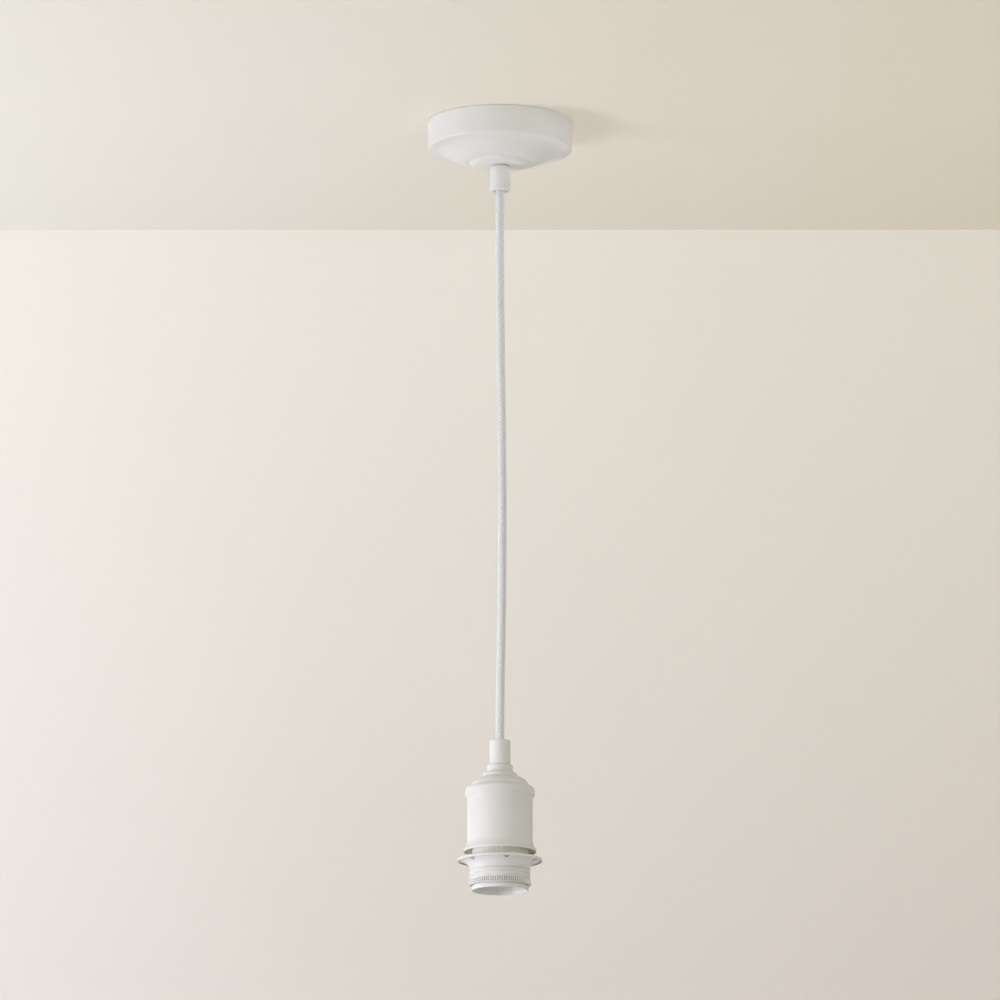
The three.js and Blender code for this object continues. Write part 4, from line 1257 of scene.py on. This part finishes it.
def ribbed_cap():
    inner = CAP_RADIUS - CAP_WALL
    ceiling = CAP_BOSS_END - 2.2
    boss_foot, dome_end = (6.5, CAP_BOSS_END), (CAP_RADIUS, CAP_DOME_END)
    outline = [
        (NIPPLE_RADIUS + 0.3, CAP_TOP),
        (6.1, CAP_TOP),
        (6.5, CAP_TOP - 0.4),
        boss_foot,
        *bend(boss_foot, (CAP_RADIUS, CAP_BOSS_END - 0.5), dome_end, 14),
        (CAP_RADIUS, CAP_DOME_END - 0.8),
        (CAP_RADIUS, CAP_END + 0.25),
        (CAP_RADIUS - 0.25, CAP_END),
        (inner, CAP_END),
        (inner, CAP_DOME_END),
        *bend((inner, CAP_DOME_END), (inner - 0.5, ceiling), (NIPPLE_RADIUS + 1.3, ceiling), 12),
        (NIPPLE_RADIUS + 0.3, ceiling),
    ]

    def shape(radius, height, around):
        turn = (around + math.pi / 2 - CAP_RIB_TURN) * CAP_RIBS / TURN
        off = np.abs(turn - np.round(turn)) * TURN / CAP_RIBS * CAP_RADIUS
        half = CAP_RIB_WIDTH / 2
        rise = np.clip((half - off) / 0.25 + 0.5, 0, 1)
        straight = (radius > CAP_RADIUS - 0.4) & (height < CAP_DOME_END - 0.5)
        return radius + CAP_RIB_HEIGHT * rise * straight, height

    # The cap takes the lighter copy of the white plastic: painted light on it in the shade of the cover.
    cap = turned("ribbed_cap", outline, 720, "cap_plastic", shape)
    dressed(cap, "white_plastic", "lampholder_cap")


def carrier_and_contact():
    corners = [
        (14.9, CARRIER_END, 0.3),
        (15.4, CARRIER_END, 0.0),
        (CARRIER_RADIUS, CARRIER_END + 0.7, 0.3),
        (CARRIER_RADIUS, CARRIER_TOP, 0.5),
    ]
    carrier = turned(
        "ceramic_carrier",
        [
            (0, CARRIER_END + 0.35),
            *rounded([(6.5, CARRIER_END + 0.35, 0), (7.6, CARRIER_END, 0.3), *corners], closed=False),
            (0, CARRIER_TOP),
        ],
        96,
        "ceramic",
    )
    dressed(carrier, "ceramic", "contact_carrier")
    top = CARRIER_END - 0.3
    line = catmull(
        [
            (-7.0, 0, top - 0.35),
            (-5.2, 0, top - 0.35),
            (-3.6, 0, top - 0.55),
            (-1.6, 0, top - 2.25),
            (0.2, 0, top - 2.95),
            (2.2, 0, top - 2.85),
            (4.9, 0, top - 1.75),
        ],
        48,
    )
    half_width, thickness = 2.45, 0.42
    across = np.linspace(-1, 1, 13)
    vertices, faces = [], []
    reach = line[:, 0]
    for side in (1, -1):
        for place in line:
            start = min(place[0] - reach[0], reach[-1] - place[0])
            narrow = math.sqrt(max(0.0, 1 - max(0.0, 1 - start / half_width) ** 2))
            for share in across:
                crown = 0.12 * (1 - share * share)
                level = place[2] + side * thickness / 2 - crown
                vertices.append((place[0], share * half_width * max(narrow, 0.12), level))
    rows, columns = len(line), len(across)
    for layer in (0, 1):
        base = layer * rows * columns
        for i in range(rows - 1):
            for j in range(columns - 1):
                a = base + i * columns + j
                faces.append((a, a + 1, a + columns + 1, a + columns))
    rim = [i * columns for i in range(rows)] + [(rows - 1) * columns + j for j in range(1, columns)]
    rim += [i * columns + columns - 1 for i in range(rows - 2, -1, -1)]
    rim += list(range(columns - 2, 0, -1))
    for a, b in zip(rim, rim[1:] + rim[:1]):
        faces.append((a, b, b + rows * columns, a + rows * columns))
    contact = mesh_piece("sprung_contact", vertices, faces, "brass")
    dressed(contact, "brass", "centre_contact")
    rivet = solid_rod("contact_rivet", [(1.3, top - 1.05, 0.35), (1.3, top - 0.5, 0.1)], 32, "brass")
    dressed(placed(rivet, shifted(-5.0, 0, 0)), "brass")


def rolled_shell():
    """The rolled brass shell with its rounded screw thread."""
    flange_low = SHELL_TOP - SHELL_SHEET
    spacing = SHELL_PITCH / 14
    inner = level_run((SHELL_BORE, SHELL_TOP), (SHELL_BORE, SHELL_END), spacing)
    outer = level_run((SHELL_BORE + SHELL_SHEET, SHELL_END), (SHELL_BORE + SHELL_SHEET, flange_low), spacing)
    flange = [(SHELL_FLANGE - 0.4, flange_low), (SHELL_FLANGE, flange_low), (SHELL_FLANGE, SHELL_TOP)]
    outline = [*inner, *outer, *flange]

    def shape(radius, height, around):
        below = np.clip((flange_low - 0.3 - height) / 1.2, 0, 1)
        above = np.clip((height - SHELL_END) / 0.8, 0.35, 1)
        wave = 0.5 - 0.5 * np.cos(TURN * ((flange_low - height) / SHELL_PITCH - around / TURN))
        wall = radius < SHELL_BORE + SHELL_SHEET + 0.1
        return radius + SHELL_WAVE * wave * below * above * wall, height

    shell = turned("rolled_shell", outline, 120, "brass", shape, math.radians(60))
    dressed(shell, "brass", "screw_shell")


def skirt():
    mouth = (SKIRT_MOUTH, SKIRT_END + 0.25)
    outer_top = SKIRT_SHOULDER - 0.35
    relief_top, relief_end = SKIRT_RELIEF
    relief = SKIRT_RADIUS - SKIRT_RELIEF_DEPTH
    outer = level_run((SKIRT_RADIUS, outer_top), (SKIRT_RADIUS, relief_top + 0.1), SKIRT_THREAD_PITCH / 10)
    groove = ((relief, relief_top), (relief, relief_end), (SKIRT_RADIUS, relief_end - 0.15))
    outer += [np.array(point) for point in groove]
    outline = [
        (SKIRT_NECK - 0.25, SKIRT_TOP),
        (SKIRT_NECK, SKIRT_TOP - 0.25),
        (SKIRT_NECK, SKIRT_SHOULDER),
        (SKIRT_RADIUS - 0.35, SKIRT_SHOULDER),
        *outer,
        *rounded(
            [(SKIRT_RADIUS, relief_end - 0.3, 0), (SKIRT_RADIUS, SKIRT_END, 0.55), (*mouth, 0)],
            closed=False,
        ),
        *bend(mouth, (SKIRT_MOUTH - 0.4, SKIRT_CONE), (SKIRT_BORE, SKIRT_CONE), 18),
        (SKIRT_BORE, SKIRT_TOP),
    ]
    shape = thread_shape(
        SKIRT_THREAD_PITCH,
        SKIRT_THREAD,
        relief_top + 0.1,
        outer_top,
        lambda radius: radius > SKIRT_RADIUS - 0.05,
    )
    piece = turned("holder_skirt", outline, HOLDER_SIDES, "white_plastic", shape)
    dressed(piece, "white_plastic", "lampholder_skirt")


def shade_ring():
    """The flange with its six holes, its fillet, the grooves, the knurled band and the foot, with painted
    shade in its recesses.
    """
    lip_low = RING_FLANGE_LOW - RING_LIP_HEIGHT
    fillet_start = RING_SLEEVE + RING_FILLET
    corners = [
        (RING_BORE, RING_TOP, 0.25),
        (RING_FLANGE, RING_TOP, 0.35),
        (RING_FLANGE, lip_low, 0.2),
        (RING_FLANGE - RING_LIP_WIDTH, lip_low, 0.12),
        (RING_FLANGE - RING_LIP_WIDTH, RING_FLANGE_LOW + RING_UNDERCUT, 0),
        (RING_FLANGE - 2 * RING_LIP_WIDTH, RING_FLANGE_LOW + RING_UNDERCUT, 0),
        (RING_FLANGE - 2 * RING_LIP_WIDTH, RING_FLANGE_LOW, 0.1),
        (fillet_start, RING_FLANGE_LOW, 0),
    ]
    outline = rounded(corners, closed=False)
    outline[0] = np.array((RING_BORE + 0.2, RING_TOP))
    outline.insert(0, np.array((RING_BORE, RING_TOP - 0.2)))
    steps = 12
    for i in range(1, steps + 1):
        angle = math.pi / 2 * i / steps
        outline.append(
            np.array(
                (
                    fillet_start - RING_FILLET * math.sin(angle),
                    RING_FLANGE_LOW - RING_FILLET * (1 - math.cos(angle)),
                )
            )
        )
    for middle in RING_GROOVES:
        half = RING_GROOVE_WIDTH / 2
        for i in range(9):
            t = i / 8
            dip = RING_GROOVE_DEPTH * math.sin(math.pi * t) ** 0.8
            level = min(middle + half - 2 * half * t, RING_FLANGE_LOW - RING_FILLET + 0.3)
            outline.append(np.array((RING_SLEEVE - dip, level)))
    knurl = level_run((RING_SLEEVE, RING_KNURL_TOP + 0.15), (RING_SLEEVE, RING_KNURL_END + 0.1), 0.25)
    outline += knurl
    foot = rounded(
        [
            (RING_SLEEVE, RING_KNURL_END, 0.05),
            (RING_FOOT, RING_KNURL_END - 0.1, 0.15),
            (RING_FOOT, RING_END, 0.2),
            (RING_BORE, RING_END, 0.0),
        ],
        closed=False,
    )
    outline += foot

    def shape(radius, height, around):
        turn = around * RING_KNURLS / TURN
        across = np.abs(turn - np.floor(turn) - 0.5) * 2
        rib = np.clip((0.75 - across) * 2.6, 0, 1)
        fade = np.clip((RING_KNURL_TOP - height) / 0.3, 0, 1)
        fade = fade * np.clip((height - RING_KNURL_END) / 0.15, 0, 1)
        outer = (radius > RING_SLEEVE - 0.02) & (radius < RING_SLEEVE + 0.02)
        return radius + RING_KNURL_DEPTH * rib * fade * outer, height

    ring = turned("clamp_ring", outline, RING_KNURLS * 6, "white_plastic", shape)
    cutters = []
    flare = 0.25
    for i in range(RING_HOLES):
        hole = solid_rod(
            "hole",
            [
                (RING_HOLE_RADIUS + flare, RING_FLANGE_LOW - 4, 0),
                (RING_HOLE_RADIUS + flare, RING_FLANGE_LOW - flare / 2, 0),
                (RING_HOLE_RADIUS, RING_FLANGE_LOW + flare, 0),
                (RING_HOLE_RADIUS, RING_TOP - flare, 0),
                (RING_HOLE_RADIUS + 2 * flare, RING_TOP + flare, 0),
            ],
            48,
            "white_plastic",
        )
        placed(hole, shifted(0, -RING_HOLE_CIRCLE, 0))
        cutters.append(placed(hole, Matrix.Rotation(TURN * i / RING_HOLES + RING_HOLE_TURN, 4, "Z")))
    carve(ring, cutters)

    # Painted shade: the undercut under the lip, the walls of the holes and the knurl's valleys get a dark
    # plastic.
    def is_shaded_recess(centre, normal, radius, outward):
        under_lip = RING_FLANGE - 2.2 * RING_LIP_WIDTH < radius < RING_FLANGE - 0.1 and outward < 0.3
        under_lip = under_lip and centre.z > lip_low + 0.1
        turn = TURN / RING_HOLES
        side = math.atan2(centre.x, -centre.y) - RING_HOLE_TURN
        side = (side + turn / 2) % turn - turn / 2
        from_hole = math.hypot(radius * math.cos(side) - RING_HOLE_CIRCLE, radius * math.sin(side))
        hole_wall = from_hole < RING_HOLE_RADIUS + 1.2 * flare and abs(normal.z) < 0.5
        knurled = RING_KNURL_END < centre.z < RING_KNURL_TOP - 0.1
        valley = knurled and RING_SLEEVE - 0.1 < radius < RING_SLEEVE + 0.4 * RING_KNURL_DEPTH
        return (under_lip and centre.z < RING_TOP - 0.4) or hole_wall or valley

    second_finish(ring, "grimed_plastic", is_shaded_recess)
    dressed(ring, "white_plastic", "shade_ring", body=SLIDING)


def holder_wires():
    earth, *others = core_starts()
    cord_end = CORD_ROUTE[-1][2] / MM - 0.3
    nipple_end = HOLDER_NIPPLE[0]
    block_top = CARRIER_TOP + 0.3 + 8
    for (x, y), (side, name, slot_name) in zip(others, CURRENT_CORES):
        block_x = side * 9.5
        route = [
            (x, y, cord_end),
            (x, y, nipple_end - 3),
            (0.35 * block_x, y - 1, nipple_end - 9),
            (0.85 * block_x, -2.5, (nipple_end + block_top) / 2 - 3),
            (block_x, -0.8, block_top + 5),
            (block_x, 0, block_top + 2),
            (block_x, 0, block_top - 2.5),
        ]
        core_tube(f"holder_{name}_wire", f"holder_core_{name}", slot_name, route)
    x, y = earth
    route = [
        (x, y, cord_end),
        (x, y, nipple_end - 3),
        (x, y + 1, nipple_end - 9),
        (x + 1.5, y + 2, nipple_end - 14),
    ]
    core_tube("holder_earth_wire", "holder_core_earth", "earth_core", route)


# The nodes that stay as they are get the same finishes

KEPT_NODES = {
    "holder_earth_tag": "brass",
    "holder_terminal_live": "brass",
    "holder_terminal_neutral": "brass",
    "holder_terminal_screw_live": "zinc_steel",
    "holder_terminal_screw_neutral": "zinc_steel",
}


def dress_kept_nodes():
    for name, material in KEPT_NODES.items():
        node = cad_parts[name]
        node.data.materials.clear()
        node.data.materials.append(MATERIALS[material])


# The room's corner round it, and the light

ROOM_HALF_WIDTH = 4.0
ROOM_FRONT = -6.0
WALL_DISTANCE = 0.287
CEILING_LEVEL = 0.0002
FLOOR_LEVEL = -1.9
CEILING_HOLE = 0.0475
CEILING_HOLE_SIDES = 64


# Colours of the room. Light meets the first pair, left and right. A view sees the second pair and a glow,
# which keeps the room as pale as in the photo without more light on the object.
# The seen colours darken from left to right, and the wall's glow lightens towards the ceiling: painted
# fall-off of the light.
CEILING_COLOURS = {
    "lit": ((0.90, 0.88, 0.84), (0.90, 0.87, 0.81)),
    "seen": ((0.51, 0.485, 0.44), (0.45, 0.415, 0.355)),
    "glow": ((0.33, 0.335, 0.31), (0.35, 0.315, 0.25)),
}
WALL_COLOURS = {
    "lit": ((0.82, 0.80, 0.75), (0.80, 0.76, 0.70)),
    "seen": ((0.49, 0.465, 0.43), (0.43, 0.38, 0.315)),
    "glow": ((0.335, 0.32, 0.31), (0.44, 0.43, 0.395)),
}
FLOOR_COLOURS = {
    "lit": ((0.80, 0.78, 0.74), (0.80, 0.78, 0.74)),
    "seen": ((0.50, 0.48, 0.44), (0.50, 0.48, 0.44)),
    "glow": ((0.56, 0.53, 0.48), (0.56, 0.53, 0.48)),
}
ROOM_FADE = 0.35
GLOW_FADE = 0.55


def room_surface(name, colours, glow_axis):
    """A flat pale surface whose colours change along an axis, as a painted fall-off of the light. It lets a
    view from behind it through.
    """
    material = bpy.data.materials.new(name)
    material.use_nodes = True
    tree = material.node_tree
    tree.nodes.clear()
    place = tree.nodes.new("ShaderNodeTexCoord").outputs["Object"]
    parts = tree.nodes.new("ShaderNodeSeparateXYZ")
    tree.links.new(place, parts.inputs[0])
    across = band(tree, parts.outputs["X"], -ROOM_FADE, ROOM_FADE)
    up = band(tree, parts.outputs["Z"], -GLOW_FADE, 0.0)
    lit = blend_colours(tree, across, *colours["lit"])
    seen = blend_colours(tree, across, *colours["seen"])
    glow = blend_colours(tree, up if glow_axis == "Z" else across, *colours["glow"])
    rays = tree.nodes.new("ShaderNodeLightPath")
    by_eye = calc(tree, "MAXIMUM", rays.outputs["Is Camera Ray"], rays.outputs["Is Glossy Ray"])
    by_eye = calc(tree, "MAXIMUM", by_eye, rays.outputs["Is Transmission Ray"])
    colour = blend_colours(tree, by_eye, lit, seen)
    diffuse = tree.nodes.new("ShaderNodeBsdfDiffuse")
    tree.links.new(colour, diffuse.inputs["Color"])
    light = tree.nodes.new("ShaderNodeEmission")
    tree.links.new(glow, light.inputs["Color"])
    tree.links.new(by_eye, light.inputs["Strength"])
    both = tree.nodes.new("ShaderNodeAddShader")
    tree.links.new(diffuse.outputs[0], both.inputs[0])
    tree.links.new(light.outputs[0], both.inputs[1])
    clear = tree.nodes.new("ShaderNodeBsdfTransparent")
    side = tree.nodes.new("ShaderNodeNewGeometry")
    mix = tree.nodes.new("ShaderNodeMixShader")
    out = tree.nodes.new("ShaderNodeOutputMaterial")
    tree.links.new(side.outputs["Backfacing"], mix.inputs[0])
    tree.links.new(both.outputs[0], mix.inputs[1])
    tree.links.new(clear.outputs[0], mix.inputs[2])
    tree.links.new(mix.outputs[0], out.inputs[0])
    return material


def room_plane(name, corners, material, faces=((0, 1, 2, 3),)):
    mesh = bpy.data.meshes.new(name)
    mesh.from_pydata(corners, [], faces)
    mesh.materials.append(material)
    plane = bpy.data.objects.new(name, mesh)
    bpy.context.scene.collection.objects.link(plane)


def holed_ceiling(material):
    """The ceiling, with a round hole over the rose through which the lamp above lights its inside."""
    w, front, back = ROOM_HALF_WIDTH, ROOM_FRONT, WALL_DISTANCE
    turns = np.linspace(0, TURN, CEILING_HOLE_SIDES, endpoint=False)
    ways = np.stack([np.cos(turns), np.sin(turns)], axis=1)
    hole = ways * CEILING_HOLE
    square = ways / np.abs(ways).max(axis=1, keepdims=True) * CEILING_HOLE * 1.2
    h = CEILING_HOLE * 1.2
    corners = [(x, y) for x in (-w, -h, h, w) for y in (front, back)]
    corners += [(-h, -h), (h, -h), (-h, h), (h, h)]
    points = [(*point, CEILING_LEVEL) for point in (*hole, *square, *corners)]
    first = 2 * CEILING_HOLE_SIDES
    faces = []
    for a in range(CEILING_HOLE_SIDES):
        b = (a + 1) % CEILING_HOLE_SIDES
        faces.append((a, b, b + CEILING_HOLE_SIDES, a + CEILING_HOLE_SIDES))
    for quad in ((0, 1, 3, 2), (4, 5, 7, 6), (2, 8, 9, 4), (10, 3, 5, 11)):
        faces.append(tuple(first + corner for corner in quad))
    room_plane("ceiling", points, material, faces)


def make_room():
    w, front, back, low, high = ROOM_HALF_WIDTH, ROOM_FRONT, WALL_DISTANCE, FLOOR_LEVEL, CEILING_LEVEL
    plaster = room_surface("ceiling_plaster", CEILING_COLOURS, "X")
    wall = room_surface("wall_plaster", WALL_COLOURS, "Z")
    floor = room_surface("floor_pale", FLOOR_COLOURS, "X")
    holed_ceiling(plaster)
    room_plane("wall", [(-w, back, low), (w, back, low), (w, back, high), (-w, back, high)], wall)
    room_plane("floor", [(-w, front, low), (w, front, low), (w, back, low), (-w, back, low)], floor)


def soft_lamp(name, place, target, size, spread, watts, colour):
    data = bpy.data.lights.new(name, "AREA")
    data.shape = "DISK"
    data.size = size
    data.spread = math.radians(spread)
    data.energy = watts
    data.color = colour
    lamp = bpy.data.objects.new(name, data)
    lamp.location = place
    lamp.rotation_euler = (Vector(target) - Vector(place)).to_track_quat("-Z", "Y").to_euler()
    lamp.visible_camera = False
    bpy.context.scene.collection.objects.link(lamp)


# Lamps: name, place, what it points at, width in metres, spread in degrees, power, colour
LAMPS = [
    ("window_light", (-1.36, -0.30, -0.78), (0, 0, -0.25), 0.55, 180, 14.8, (0.895, 0.905, 1.0)),
    ("front_level", (0.8, -2.3, -0.75), (0, 0, -0.25), 1.6, 180, 16.6, (0.965, 1.0, 0.857)),
    ("front_low", (0.5, -1.2, -1.75), (0, 0, -0.2), 1.4, 180, 4.2, (0.71, 0.64, 1.0)),
    ("rose_fill", (1.34, -0.22, -0.22), (0, 0, -0.02), 0.3, 26, 0.065, (1.0, 1.0, 1.0)),
    ("rose_inside", (0, 0, 0.6), (0, 0, 0), 0.25, 180, 2.4, (1.0, 1.0, 1.0)),
]


def make_light():
    for lamp in LAMPS:
        soft_lamp(*lamp)
    world = bpy.data.worlds.new("room_air")
    bpy.context.scene.world = world
    world.use_nodes = True
    tree = world.node_tree
    tree.nodes.clear()
    air = add(tree, "ShaderNodeBackground", Color=(1.0, 1.0, 1.0), Strength=0.0)
    seen = add(tree, "ShaderNodeBackground", Color=(0.72, 0.68, 0.61), Strength=1.0)
    rays = tree.nodes.new("ShaderNodeLightPath")
    mix = tree.nodes.new("ShaderNodeMixShader")
    out = tree.nodes.new("ShaderNodeOutputWorld")
    tree.links.new(rays.outputs["Is Camera Ray"], mix.inputs[0])
    tree.links.new(air.outputs[0], mix.inputs[1])
    tree.links.new(seen.outputs[0], mix.inputs[2])
    tree.links.new(mix.outputs[0], out.inputs[0])
    bpy.context.scene.view_settings.view_transform = "Standard"


def flipped(level):
    """Turns a piece that stands shoulder up over, so that its shoulder points down at a level."""
    return shifted(0, 0, level) @ Matrix.Rotation(math.pi, 4, "Y")


make_camera()
make_groups()
make_materials()
braided_cord()
rose_cover()
threaded_nipple("rose_stud", ROSE_NIPPLE, "rose_nipple")
upper_grip, lower_grip = shifted(0, 0, ROSE_GRIP_TOP), flipped(HOLDER_GRIP_BOTTOM)
cord_grip("upper_grip", "upper_grip_screw", upper_grip, "rose_cord_grip", "rose_grip_screw")
steel_bracket()
hex_nut("upper_nut", UPPER_NUT, "bracket_upper_nut")
hex_nut("lower_nut", LOWER_NUT, "bracket_lower_nut")
toothed_washer()
earth_screw()
terminal_block()
rose_cores()
cord_grip("lower_grip", "lower_grip_screw", lower_grip, "holder_cord_grip", "holder_grip_screw")
threaded_nipple("holder_stud", HOLDER_NIPPLE, "holder_nipple")
holder_cover()
ribbed_cap()
carrier_and_contact()
rolled_shell()
skirt()
shade_ring()
holder_wires()
dress_kept_nodes()
make_room()
make_light()
